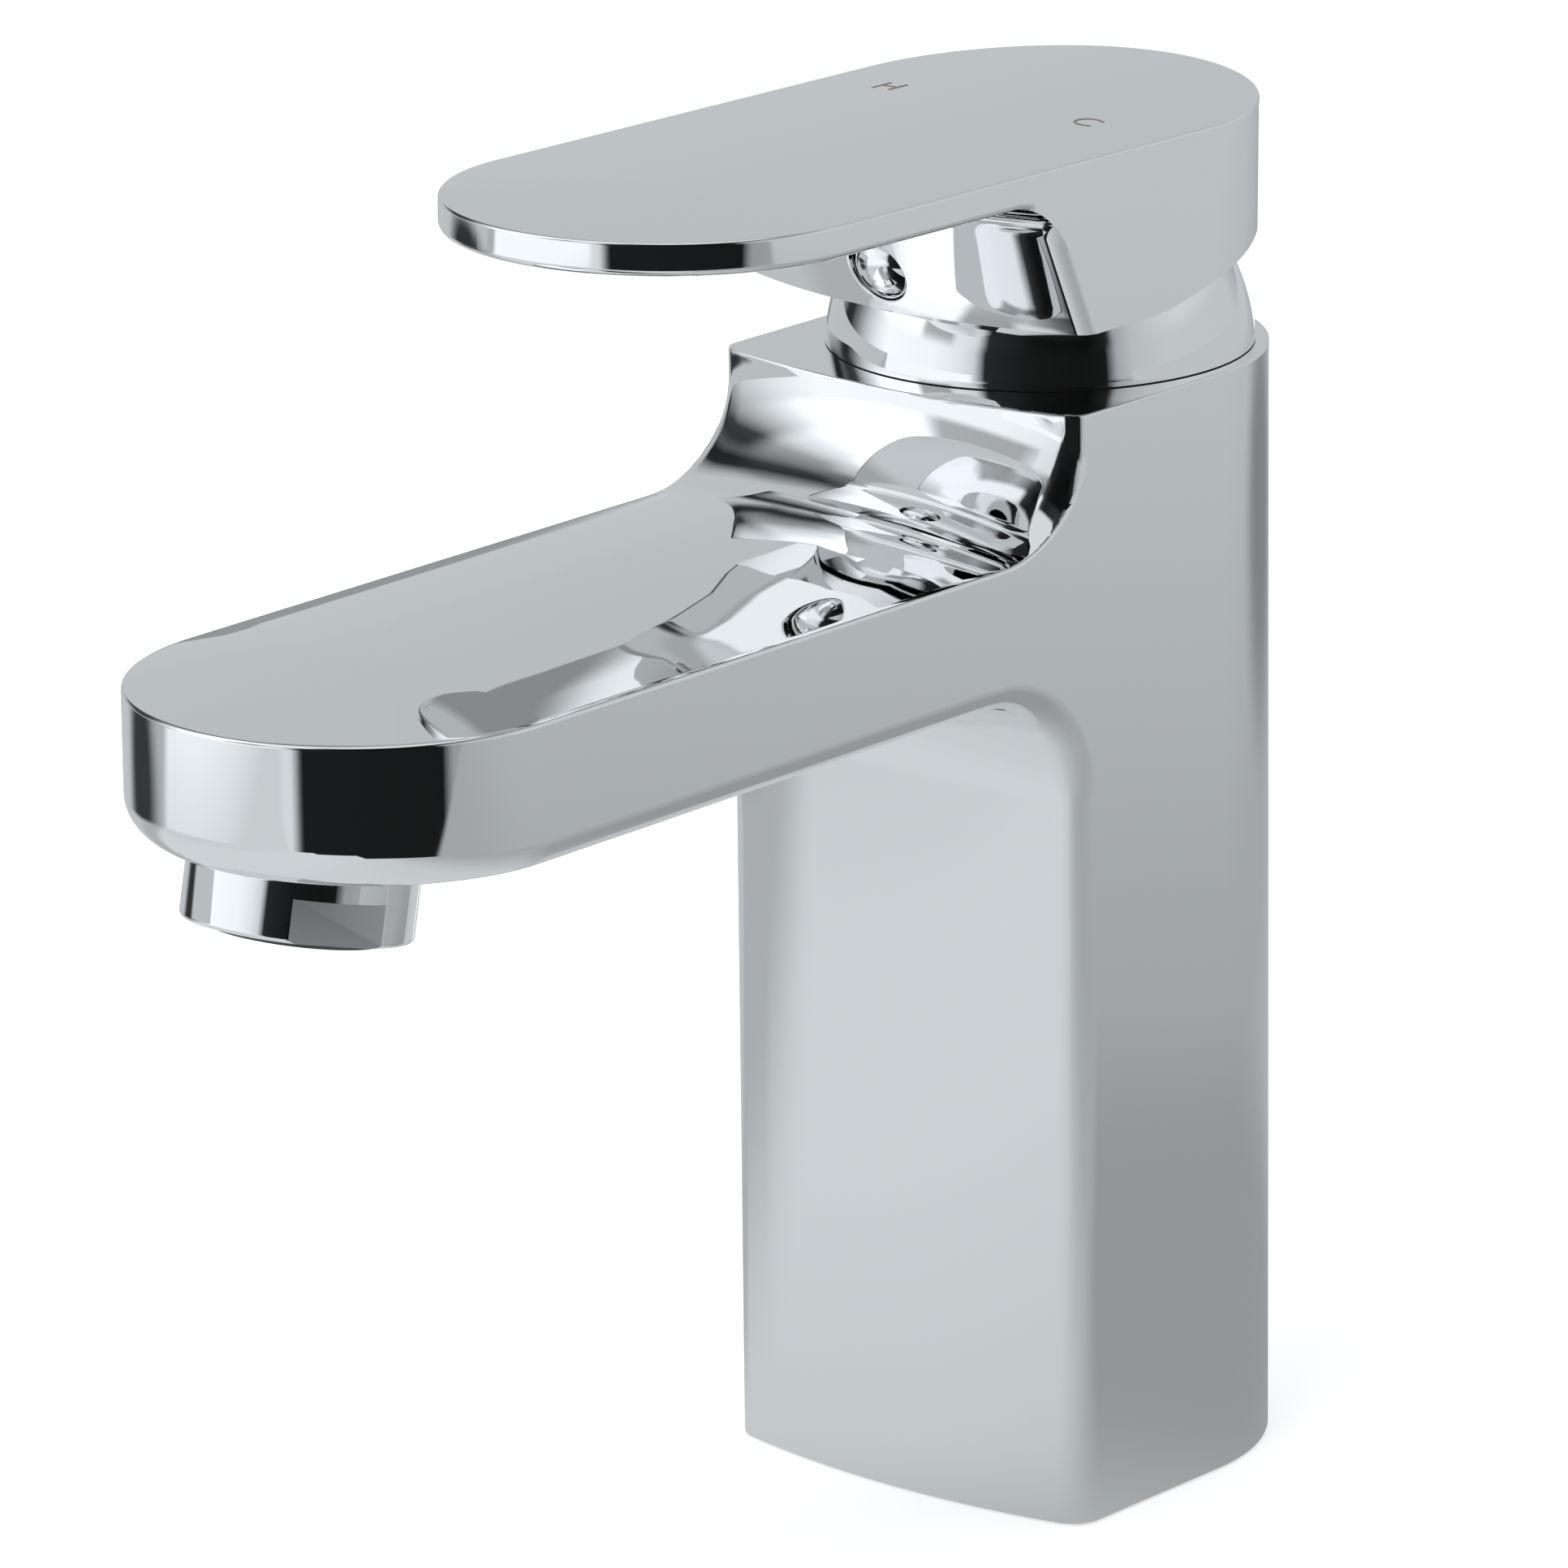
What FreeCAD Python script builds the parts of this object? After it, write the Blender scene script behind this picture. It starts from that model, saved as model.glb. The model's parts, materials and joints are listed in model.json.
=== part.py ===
"""Single-lever basin mixer: cast body, ceramic-disc cartridge, dome cover, lever handle and aerator.

Frame: +Z up, the spout points along -Y, the origin is on the deck under the cartridge axis. Millimetres.
"""
import FreeCAD, Part
import math
import os

from FreeCAD import Vector as V

# ---------------------------------------------------------------- body and spout
BODY_WIDTH = 50.0           # across the column and the spout
BODY_HEIGHT = 125.2         # deck to the flat top of the column
FRONT_DEPTH = 27.2          # cartridge axis to the crest of the bowed front wall
FRONT_BOW = 3.0             # how far the front wall bulges between its corners
FRONT_CORNER = 2.8          # upright corner radius beside the step
CORNER_TURN = 70.0          # degrees through which that corner turns before the side face takes over
SPOUT_REACH = 134.0         # cartridge axis to the tip of the nose
STEP_HEIGHT = 14.2          # flat top of the column down to the spout's upper edge
SPOUT_DEPTH = 15.6          # the spout's upper edge down to its flat underside
SPOUT_CROWN = 3.2           # rise of the crowned top between its two edges
STEP_BLEND = 13.0           # hollow blend between the spout's top and the column's front wall
THROAT_BLEND = 13.0         # hollow blend under the spout
LOWER_ROUND = 3.0           # rounding of the spout's lower edge and the column's front corners
EDGE_BREAK = 0.5            # small rounding on the crisp outer edges
BASE_WALL = 5.4             # wall of the open hollow under the column
HOLLOW_ROOF = 30.5          # thickness of metal between that hollow and the cartridge seat
INLET_SPACING = 17.0        # between the two hose threads
INLET_SETBACK = 4.0         # hose threads behind the cartridge axis
INLET_BORE = 9.0            # core diameter of the M10x1 hose threads
INLET_DEPTH = 12.0
INLET_PASSAGE = 5.0         # from each hose thread up to the cartridge
STUD_BORE = 6.8             # core diameter of the M8 fixing stud thread
STUD_DEPTH = 9.0
STUD_FORWARD = 12.0         # stud in front of the cartridge axis
OUTLET_PASSAGE = 6.4        # from the cartridge to the spout's waterway
OUTLET_DROP = 14.5          # seat down to the level run of that passage
SPOUT_WALL = 3.6            # cast wall round the water chamber in the spout
CHAMBER_SETBACK = 8.8       # crest of the front wall to the rear end of that chamber
SEAL_MARGIN = 1.4           # outer edge of the foot to the base seal
SEAL_WIDTH = 2.4
SEAL_DEPTH = 2.0

# ---------------------------------------------------------------- cartridge
CARTRIDGE_DIA = 35.0
CARTRIDGE_GAP = 0.4         # radial room round the cartridge
NECK_DIA = 30.0             # upper, narrower part of the cartridge housing
HOUSING_WALL = 1.8
BASE_PLATE = 4.0            # thickness of the cartridge base
PEG_DIA = 2.6               # locating pegs of the cartridge
PEG_LENGTH = 1.8
SEAT_PEG_X = 11.0
SEAT_PEG_Y = 6.0
DISC_THICKNESS = 2.4
DISC_ROOM = 1.0             # housing wall to the ceramic discs and their pegs
DISC_GAP = 0.05             # polished faces of the two ceramic discs
PORT_SPACING = 10.0         # hot and cold ports, centre to centre
PORT_FORWARD = 4.0          # hot and cold ports in front of the axis
PORT_DIA = 4.6
OUTLET_BACK = 7.0           # mixed-water port behind the axis
OUTLET_DIA = 6.0
SEAL_WALL = 1.0             # rubber rings round the ports
SEAL_HEIGHT = 1.2
CLOSED_OFFSET = 3.2         # moving disc behind the axis with the water off
CHAMBER_WIDTH = 8.0         # hollow under the moving disc that joins the ports
CHAMBER_LENGTH = 12.0
CHAMBER_BACK = 3.3          # centre of the hollow behind the centre of the disc
CHAMBER_DEPTH = 1.2
LOBE_DIA = 5.6              # side lobes of that hollow, towards the hot and cold ports
LOBE_SPACING = 7.2
CARRIER_HEIGHT = 7.0
CARRIER_WIDTH = 16.4
PIVOT_DROP = 1.2            # flat top of the column down to the tilt axis, which is the dome's centre too
PIVOT_RISE = 11.35          # lower face of the rotor up to the tilt axis
STEM_SIDE = 8.0             # square lever stem
STEM_RISE = 23.0            # tilt axis up to the end of the stem
BALL_RISE = 3.15            # lower face of the disc carrier up to the centre of the stem's ball
STEM_BELOW = 6.0            # the square shank reaches this far below the tilt axis
STEM_CHAMFER = 0.8
BALL_DIA = 6.0
BALL_GAP = 0.3
PIN_DIA = 3.0
PIN_GAP = 0.06              # radial running clearance on the tilt pin
RUN_GAP = 0.3               # room between pieces that slide past each other
ROTOR_FLANGE = 2.6
TILT_MAX = 24.0             # degrees of lever lift from closed to fully open

# ---------------------------------------------------------------- lock nut, limit ring and dome
NUT_LAND = 3.0              # radial width of the face that presses on the cartridge's shoulder
NUT_HEX = 36.0              # across flats
NUT_HEX_HEIGHT = 4.0
LIMIT_RING_OUTER = 36.0
LIMIT_RING_HEIGHT = 2.0
LIMIT_NOTCHES = 20
LIMIT_NOTCH = 1.6
DOME_OVER_NUT = 2.72        # radial, from the lock nut's corners to the outside of the dome
DOME_WALL = 1.2
DOME_TRIM = 14.5            # tilt axis up to the rim of the dome's top opening
DOME_SEAL_HEIGHT = 0.5      # dark ring under the dome
DOME_SEAL_WIDTH = 2.2

# ---------------------------------------------------------------- handle
HANDLE_OVERHANG = 0.4       # the handle's side stands out this far beyond the dome's widest line
HANDLE_REACH = 85.1         # cartridge axis to the tip of the lever
HANDLE_CAP = 4.7            # top of the dome's sphere up to the handle's upper edge
HANDLE_RISE = 0.9           # degrees that the top climbs towards the tip
HANDLE_CROWN = 0.8
BLADE_THICKNESS = 3.6       # at its edges
BLADE_ROUND = 1.4           # rounding of the blade's lower edge
SKIRT_RISE = 9.3            # tilt axis up to the skirt's lower edge
SKIRT_LEVEL = 11.0          # the edge stays level back to this far in front of the axis
SKIRT_BEND = 30.0           # then turns upwards on this radius
SKIRT_RELIEF = 13.0         # and climbs at this many degrees to the rear
HUB_FORWARD = 2.0           # front of the dome to the hub's lower front edge
HUB_BOW = 4.6
HUB_CORNER = 2.4
HUB_LEAN = 24.0             # degrees that the hub's front leans forward going up
HUB_BLEND = 7.0             # hollow blend between the hub and the blade
CUP_GAP = 0.5               # room between the dome and the handle's cup
SOCKET_WALL = 5.0
SOCKET_DEPTH = 6.5          # stem top down to the mouth of its socket
GRUB_MOUTH = 7.6            # mouth of the screw hole in the hub
GRUB_MOUTH_DEPTH = 5.0
GRUB_DIA = 5.0
GRUB_LENGTH = 6.0
GRUB_KEY = 2.5              # across flats of its hexagon socket
GRUB_RISE = 4.7             # skirt's lower edge up to the centre of the mouth on the hub's front
GRUB_TILT = 14.0            # degrees that the screw climbs towards the stem

# ---------------------------------------------------------------- aerator
AERATOR_THREAD = 22.0       # diameter of the threaded neck
AERATOR_COLLAR = 1.1        # the ring's step out from that neck
AERATOR_DROP = 8.4          # underside of the spout to the lower rim, along the aerator's axis
AERATOR_TILT = 12.0         # degrees that the jet leans forward
NOSE_WALL = 3.5             # nose tip back to the ring, at the spout's underside
AERATOR_NECK = 3.6
AERATOR_LEDGE = 3.0         # the spout's underside down to the ledge that carries the insert
AERATOR_WALL = 1.4
AERATOR_FLAT_CUT = 1.1      # depth of the two wrench flats
AERATOR_FLAT_HEIGHT = 4.6
AERATOR_FLAT_TURN = 63.0    # degrees from straight ahead to the first flat
INSERT_PROUD = 0.7          # the insert stands below the ring
INSERT_RIBS = 12
INSERT_RIB = 0.8
INSERT_HUB = 4.0
SCREEN_THICKNESS = 0.8
SCREEN_HOLE = 1.8
SCREEN_PITCH = 3.24
WASHER_HEIGHT = 1.6
WASHER_WIDTH = 3.5

FIT = 0.1                   # assembled clearance between fixed pieces
TALL = 400.0                # longer than anything it has to cut
OVERRUN = 1.0               # cutting tools run this far past the faces that they open
NEAR = 0.1                  # tolerance when edges are picked by their place
WIDE = 1.4                  # cutting tools reach this share of the half width to each side
UP = V(0, 0, 1)

half_width = BODY_WIDTH / 2
nose_centre = -(SPOUT_REACH - half_width)
spout_rim = BODY_HEIGHT - STEP_HEIGHT
spout_crest = spout_rim + SPOUT_CROWN
spout_underside = spout_rim - SPOUT_DEPTH
chamber_start = FRONT_DEPTH + CHAMBER_SETBACK

# The cartridge is a stack that ends at the tilt axis, so its seat follows from the pieces in it.
pivot_height = BODY_HEIGHT - PIVOT_DROP
rotor_low = pivot_height - PIVOT_RISE
carrier_top = rotor_low - RUN_GAP
carrier_low = carrier_top - CARRIER_HEIGHT
moving_disc_low = carrier_low - DISC_THICKNESS
fixed_disc_top = moving_disc_low - DISC_GAP
base_top = fixed_disc_top - DISC_THICKNESS
seat_height = base_top - BASE_PLATE
ball_height = carrier_low + BALL_RISE
stem_top = pivot_height + STEM_RISE
seat_radius = CARTRIDGE_DIA / 2 + CARTRIDGE_GAP
housing_inside = CARTRIDGE_DIA / 2 - HOUSING_WALL
neck_inside = NECK_DIA / 2 - HOUSING_WALL
fixed_disc_radius = housing_inside - DISC_ROOM - PEG_DIA / 2
moving_disc_radius = housing_inside - DISC_ROOM - CLOSED_OFFSET
flange_top = rotor_low + ROTOR_FLANGE
shoulder = flange_top + RUN_GAP + HOUSING_WALL
hollow_height = seat_height - HOLLOW_ROOF

# The nut's thread ends just above the column, and its hexagon carries the dome.
nut_radius = CARTRIDGE_DIA / 2 + NUT_LAND
nut_corner = NUT_HEX / math.sqrt(3)
thread_top = BODY_HEIGHT + RUN_GAP
nut_top = thread_top + NUT_HEX_HEIGHT
dome_radius = nut_corner + DOME_OVER_NUT
half_handle = dome_radius + HANDLE_OVERHANG
handle_top = pivot_height + dome_radius + HANDLE_CAP
handle_front = -(HANDLE_REACH - half_handle)
blade_under = handle_top - BLADE_THICKNESS
skirt_bottom = pivot_height + SKIRT_RISE
hub_depth = dome_radius + HUB_FORWARD
grub_height = skirt_bottom + GRUB_RISE

aerator_radius = AERATOR_THREAD / 2 + AERATOR_COLLAR
aerator_inside = AERATOR_THREAD / 2 - AERATOR_WALL
aerator_foot = V(0, -(SPOUT_REACH - NOSE_WALL - aerator_radius), spout_underside)
PORTS = [
    (-PORT_SPACING / 2, -PORT_FORWARD, PORT_DIA / 2),
    (PORT_SPACING / 2, -PORT_FORWARD, PORT_DIA / 2),
    (0.0, OUTLET_BACK, OUTLET_DIA / 2),
]


def save(node, shape):
    """Write one node's STEP file and report what it holds."""
    clean = shape.removeSplitter()
    if not clean.isValid() or not clean.Solids:
        clean = shape
    clean.exportStep("parts/%s.step" % node)
    print("%-22s solids %d valid %s volume %.1f" % (node, len(clean.Solids), clean.isValid(), clean.Volume))


def prism(points, low, high):
    """Upright solid over a closed polygon of (x, y) points."""
    loop = [V(x, y, low) for x, y in points]
    return Part.Face(Part.makePolygon(loop + loop[:1])).extrude(V(0, 0, high - low))


def disc(radius, low, high, x=0.0, y=0.0):
    return Part.makeCylinder(radius, high - low, V(x, y, low), UP)


def ring(outer, inner, low, high, x=0.0, y=0.0):
    return disc(outer, low, high, x, y).cut(disc(inner, low - 1, high + 1, x, y))


def hexagon(across_flats, low, high):
    radius = across_flats / math.sqrt(3)
    turns = [math.radians(60 * k) for k in range(6)]
    corners = [(radius * math.cos(turn), radius * math.sin(turn)) for turn in turns]
    return prism(corners, low, high)


def arc(a, b, c):
    return Part.Arc(a, b, c).toShape()


def line(a, b):
    return Part.LineSegment(a, b).toShape()


def mirrored(point):
    return V(-point.x, point.y, point.z)


def arc_radius(half, rise):
    """Radius of the arc that rises by this much over a width of two halves."""
    return (half * half + rise * rise) / (2 * rise)


def stadium(half, front, low, high, inset=0.0):
    """Round-ended plan: the rear end is centred on the cartridge axis, the front end at y = front."""
    r = half - inset
    edges = [
        line(V(r, 0, low), V(r, front, low)),
        arc(V(r, front, low), V(0, front - r, low), V(-r, front, low)),
        line(V(-r, front, low), V(-r, 0, low)),
        arc(V(-r, 0, low), V(0, r, low), V(r, 0, low)),
    ]
    return Part.Face(Part.Wire(edges)).extrude(V(0, 0, high - low))


def crowned_solid(half, front, crest, crown):
    """Everything below a top that is crowned across its width and domed over its round front end."""
    radius = arc_radius(half, crown)
    apex = V(0, front, crest)
    centre = apex - UP * radius
    sweep = math.asin(WIDE * half / radius)
    right = centre + V(math.sin(sweep), 0, math.cos(sweep)) * radius
    low_right = V(right.x, front, centre.z + radius / 5)
    edges = [
        arc(mirrored(right), apex, right),
        line(right, low_right),
        line(low_right, mirrored(low_right)),
        line(mirrored(low_right), mirrored(right)),
    ]
    section = Part.Face(Part.Wire(edges))
    level = section.extrude(V(0, TALL, 0))
    return level.fuse(section.revolve(centre, V(1, 0, 0), math.degrees(sweep)))


def bowed_plan(half, depth, bow, low):
    """D-shaped plan: bowed front wall, straight sides and a round rear centred on the cartridge axis."""
    y = -(depth - bow)
    edges = [
        arc(V(-half, y, low), V(0, -depth, low), V(half, y, low)),
        line(V(half, y, low), V(half, 0, low)),
        arc(V(half, 0, low), V(0, half, low), V(-half, 0, low)),
        line(V(-half, 0, low), V(-half, y, low)),
    ]
    return Part.Face(Part.Wire(edges))


def space_before_wall(half, depth, bow, corner, low):
    """Plan of the room in front of a bowed wall whose two upright corners are rounded."""
    radius = arc_radius(half, bow)
    swing = math.asin((half - corner) / (radius - corner))
    turn = math.radians(CORNER_TURN)
    hub_x = half - corner
    hub_y = radius - depth - (radius - corner) * math.cos(swing)

    def on_corner(angle):
        return V(hub_x + corner * math.sin(angle), hub_y - corner * math.cos(angle), low)

    start, bend, stop = on_corner(swing), on_corner((swing + turn) / 2), on_corner(turn)
    out = stop + V(math.cos(turn), math.sin(turn), 0) * 2 * half
    far = V(out.x, -TALL / 2, low)
    edges = [
        arc(mirrored(start), V(0, -depth, low), start),
        arc(start, bend, stop),
        line(stop, out),
        line(out, far),
        line(far, mirrored(far)),
        line(mirrored(far), mirrored(out)),
        line(mirrored(out), mirrored(stop)),
        arc(mirrored(stop), mirrored(bend), mirrored(start)),
    ]
    return Part.Wire(edges)


def edges_where(shape, test):
    found = []
    for edge in shape.Edges:
        box = edge.BoundBox
        if test(box):
            found.append(edge)
    return found


# ---------------------------------------------------------------- faucet body
def room_above_spout():
    """Cut away above the spout: bowed wall behind, crowned floor below, hollow blend between them."""
    wire = space_before_wall(half_width, FRONT_DEPTH, FRONT_BOW, FRONT_CORNER, spout_underside)
    room = Part.Face(wire).extrude(V(0, 0, BODY_HEIGHT + STEP_BLEND - spout_underside))
    room = room.cut(crowned_solid(half_width, nose_centre, spout_crest, SPOUT_CROWN))
    foot = edges_where(room, lambda b: b.ZMax < spout_crest + NEAR and b.YMin > -FRONT_DEPTH - NEAR
                       and b.XMin < 0 < b.XMax and b.YMax < 0)
    return room.makeFillet(STEP_BLEND, foot)


def room_below_spout():
    """Cut away in front of the column: the same wall, with a flat roof and a hollow blend."""
    radius = arc_radius(half_width, FRONT_BOW)
    side = WIDE * half_width
    y = -(FRONT_DEPTH - radius + math.sqrt(radius * radius - side * side))
    low = -THROAT_BLEND
    a, b = V(-side, y, low), V(side, y, low)
    c, d = V(side, -TALL / 2, low), V(-side, -TALL / 2, low)
    wire = Part.Wire([arc(a, V(0, -FRONT_DEPTH, low), b), line(b, c), line(c, d), line(d, a)])
    room = Part.Face(wire).extrude(V(0, 0, spout_underside - low))
    foot = edges_where(room, lambda b: b.ZMin > spout_underside - NEAR and b.YMax < 0
                       and b.YMin > -FRONT_DEPTH - NEAR)
    return room.makeFillet(THROAT_BLEND, foot)


def body_outside():
    """Column and spout as one form, with its rounded lower edges."""
    column = bowed_plan(half_width, FRONT_DEPTH, FRONT_BOW, 0).extrude(V(0, 0, BODY_HEIGHT))
    spout = stadium(half_width, nose_centre, 0, BODY_HEIGHT)
    form = column.fuse(spout).removeSplitter()
    form = form.cut(room_below_spout()).cut(room_above_spout()).removeSplitter()
    throat = spout_underside - THROAT_BLEND
    corner_y = -(FRONT_DEPTH - FRONT_BOW)

    def under_spout(box):
        on_side_or_nose = box.XLength < NEAR or box.YMin < nose_centre - NEAR
        return throat - NEAR < box.ZMin and box.ZMax < spout_underside + NEAR and on_side_or_nose

    def column_corner(box):
        return box.ZLength > throat - NEAR and box.ZMax < throat + NEAR and abs(box.YMin - corner_y) < NEAR

    def upper_rim(box):
        level = abs(box.ZMin - spout_rim) < NEAR and abs(box.ZMax - spout_rim) < NEAR
        return level and box.YMax < -FRONT_DEPTH

    lower = edges_where(form, lambda box: under_spout(box) or column_corner(box))
    form = form.makeFillet(LOWER_ROUND, lower)
    return form.makeFillet(EDGE_BREAK, edges_where(form, upper_rim))


def tilted(shape):
    """Turn an upright shape built round the origin onto the aerator's axis."""
    shape.rotate(V(0, 0, 0), V(1, 0, 0), -AERATOR_TILT)
    shape.translate(aerator_foot)
    return shape


def bar(radius, start, end):
    """Round bar between two points."""
    way = end - start
    return Part.makeCylinder(radius, way.Length, start, way)


def offset_plan(inset):
    """The column's own plan, drawn inwards."""
    radius = arc_radius(half_width, FRONT_BOW) - inset
    half = half_width - inset
    bow = radius - math.sqrt(radius * radius - half * half)
    return bowed_plan(half, FRONT_DEPTH - inset, bow, 0)


def base_seal():
    outer = offset_plan(SEAL_MARGIN).extrude(V(0, 0, SEAL_DEPTH))
    inner = offset_plan(SEAL_MARGIN + SEAL_WIDTH).extrude(V(0, 0, SEAL_DEPTH))
    return outer.cut(inner)


def aerator_seat_rise():
    """How far above the underside the ring's square top lies, so that it sinks wholly into the spout."""
    return aerator_radius * math.tan(math.radians(AERATOR_TILT)) + FIT


def aerator_socket_top():
    return aerator_seat_rise() + AERATOR_NECK + WASHER_HEIGHT


def water_passages():
    cuts = []
    inlet_top = hollow_height + INLET_DEPTH
    for side in (-1, 1):
        inlet = V(side * INLET_SPACING / 2, INLET_SETBACK, inlet_top)
        cuts.append(disc(INLET_BORE / 2, hollow_height - OVERRUN, inlet_top, inlet.x, inlet.y))
        port = V(side * PORT_SPACING / 2, -PORT_FORWARD, seat_height)
        way = (port - inlet).normalize() * OVERRUN
        cuts.append(bar(INLET_PASSAGE / 2, inlet - way, port + way))
    level = seat_height - OUTLET_DROP
    r = OUTLET_PASSAGE / 2
    back = V(0, OUTLET_BACK, level)
    knee = V(0, -OUTLET_BACK, level)
    mouth = V(0, -chamber_start - r, (spout_underside + spout_rim) / 2)
    port = V(0, OUTLET_BACK, seat_height + OVERRUN)
    cuts += [bar(r, port, back), bar(r, back, knee), bar(r, knee, mouth)]
    cuts += [Part.makeSphere(r, corner) for corner in (back, knee)]
    return cuts


def spout_chamber():
    """Water chamber that follows the spout's walls and leaves the aerator's boss standing."""
    low = spout_underside + SPOUT_WALL
    chamber = stadium(half_width, nose_centre, low, spout_crest, SPOUT_WALL)
    rear = Part.makeBox(BODY_WIDTH, BODY_WIDTH + chamber_start, spout_crest)
    rear.translate(V(-half_width, -chamber_start, 0))
    roof = crowned_solid(half_width, nose_centre, spout_crest - SPOUT_WALL, SPOUT_CROWN)
    boss = tilted(disc(AERATOR_THREAD / 2 + SPOUT_WALL, 0, aerator_socket_top() + SPOUT_WALL / 2))
    return chamber.cut(rear).common(roof).cut(boss)


def faucet_body():
    form = body_outside()
    socket_top = aerator_socket_top()
    cuts = [
        disc(seat_radius, seat_height, BODY_HEIGHT + OVERRUN),
        disc(nut_radius, shoulder - OVERRUN, BODY_HEIGHT + OVERRUN),
        offset_plan(BASE_WALL).extrude(V(0, 0, hollow_height)),
        base_seal(),
        disc(STUD_BORE / 2, hollow_height - OVERRUN, hollow_height + STUD_DEPTH, 0, -STUD_FORWARD),
        tilted(disc(aerator_radius + FIT, -aerator_radius, aerator_seat_rise())),
        tilted(disc(AERATOR_THREAD / 2 + FIT, 0, socket_top)),
        tilted(disc(AERATOR_THREAD / 2 - WASHER_WIDTH, 0, socket_top + SPOUT_WALL)),
        spout_chamber(),
    ]
    for side in (-1, 1):
        hole_low = seat_height - PEG_LENGTH - FIT
        cuts.append(disc(PEG_DIA / 2 + FIT, hole_low, seat_height + OVERRUN, side * SEAT_PEG_X, SEAT_PEG_Y))
    for cut in cuts + water_passages():
        form = form.cut(cut)
    return form


# ---------------------------------------------------------------- cartridge
def port_seals(low):
    """Rubber rings round the three ports, as one group of separate rings."""
    return Part.makeCompound([ring(r + SEAL_WALL, r, low, low + SEAL_HEIGHT, x, y) for x, y, r in PORTS])


def cartridge_base():
    plate = disc(housing_inside - FIT, seat_height, base_top)
    peg = PEG_DIA / 2
    for side in (-1, 1):
        plate = plate.fuse(disc(peg, seat_height - PEG_LENGTH, base_top, side * SEAT_PEG_X, SEAT_PEG_Y))
        plate = plate.fuse(disc(peg, seat_height, base_top + PEG_LENGTH, side * fixed_disc_radius))
    for x, y, r in PORTS:
        plate = plate.cut(disc(r, seat_height - OVERRUN, base_top + OVERRUN, x, y))
        plate = plate.cut(disc(r + SEAL_WALL, seat_height - OVERRUN, seat_height + SEAL_HEIGHT, x, y))
        plate = plate.cut(disc(r + SEAL_WALL, base_top - SEAL_HEIGHT, base_top + OVERRUN, x, y))
    return plate


def fixed_ceramic_disc():
    plate = disc(fixed_disc_radius, base_top, fixed_disc_top)
    low = base_top - OVERRUN
    high = fixed_disc_top + OVERRUN
    for x, y, r in PORTS:
        plate = plate.cut(disc(r, low, high, x, y))
    for side in (-1, 1):
        plate = plate.cut(disc(PEG_DIA / 2 + FIT, low, high, side * fixed_disc_radius))
    return plate


def carrier_pegs(low, high, radius):
    """Two pegs that turn the moving disc with its carrier."""
    y = CLOSED_OFFSET + moving_disc_radius / 2
    return [disc(radius, low, high, side * CARRIER_WIDTH / 3, y) for side in (-1, 1)]


def moving_ceramic_disc():
    plate = disc(moving_disc_radius, moving_disc_low, carrier_low, 0, CLOSED_OFFSET)
    low = moving_disc_low - OVERRUN
    high = moving_disc_low + CHAMBER_DEPTH
    r = CHAMBER_WIDTH / 2
    y = CLOSED_OFFSET + CHAMBER_BACK
    half = CHAMBER_LENGTH / 2 - r
    chamber = disc(r, low, high, 0, y - half).fuse(disc(r, low, high, 0, y + half))
    chamber = chamber.fuse(prism([(-r, y - half), (r, y - half), (r, y + half), (-r, y + half)], low, high))
    for side in (-1, 1):
        lobe = disc(LOBE_DIA / 2, low, high, side * LOBE_SPACING / 2, y - half - LOBE_DIA / 4)
        chamber = chamber.fuse(lobe)
    plate = plate.cut(chamber)
    hole_low = carrier_low - CHAMBER_DEPTH / 2 - FIT
    for peg in carrier_pegs(hole_low, carrier_low + OVERRUN, PEG_DIA / 2 + FIT):
        plate = plate.cut(peg)
    return plate


def slab(half, low, high):
    """Endless upright slab, two halves wide in X."""
    return prism([(-half, -TALL), (half, -TALL), (half, TALL), (-half, TALL)], low, high)


def disc_carrier():
    block = disc(moving_disc_radius, carrier_low, carrier_top, 0, CLOSED_OFFSET)
    block = block.common(slab(CARRIER_WIDTH / 2, carrier_low, carrier_top))
    bore = BALL_DIA / 2 + BALL_GAP
    block = block.cut(disc(bore, carrier_low - OVERRUN, ball_height + OVERRUN))
    flare = carrier_top + OVERRUN - ball_height
    mouth = bore + flare * math.tan(math.radians(TILT_MAX))
    block = block.cut(Part.makeCone(bore, mouth, flare, V(0, 0, ball_height)))
    for peg in carrier_pegs(carrier_low - CHAMBER_DEPTH / 2, carrier_low + OVERRUN, PEG_DIA / 2):
        block = block.fuse(peg)
    return block


def cartridge_housing():
    neck = disc(NECK_DIA / 2, shoulder - OVERRUN, nut_top)
    outer = disc(CARTRIDGE_DIA / 2, seat_height, shoulder).fuse(neck)
    inner = disc(housing_inside, seat_height - OVERRUN, shoulder - HOUSING_WALL)
    return outer.cut(inner).cut(disc(neck_inside, seat_height, nut_top + OVERRUN))


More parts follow.
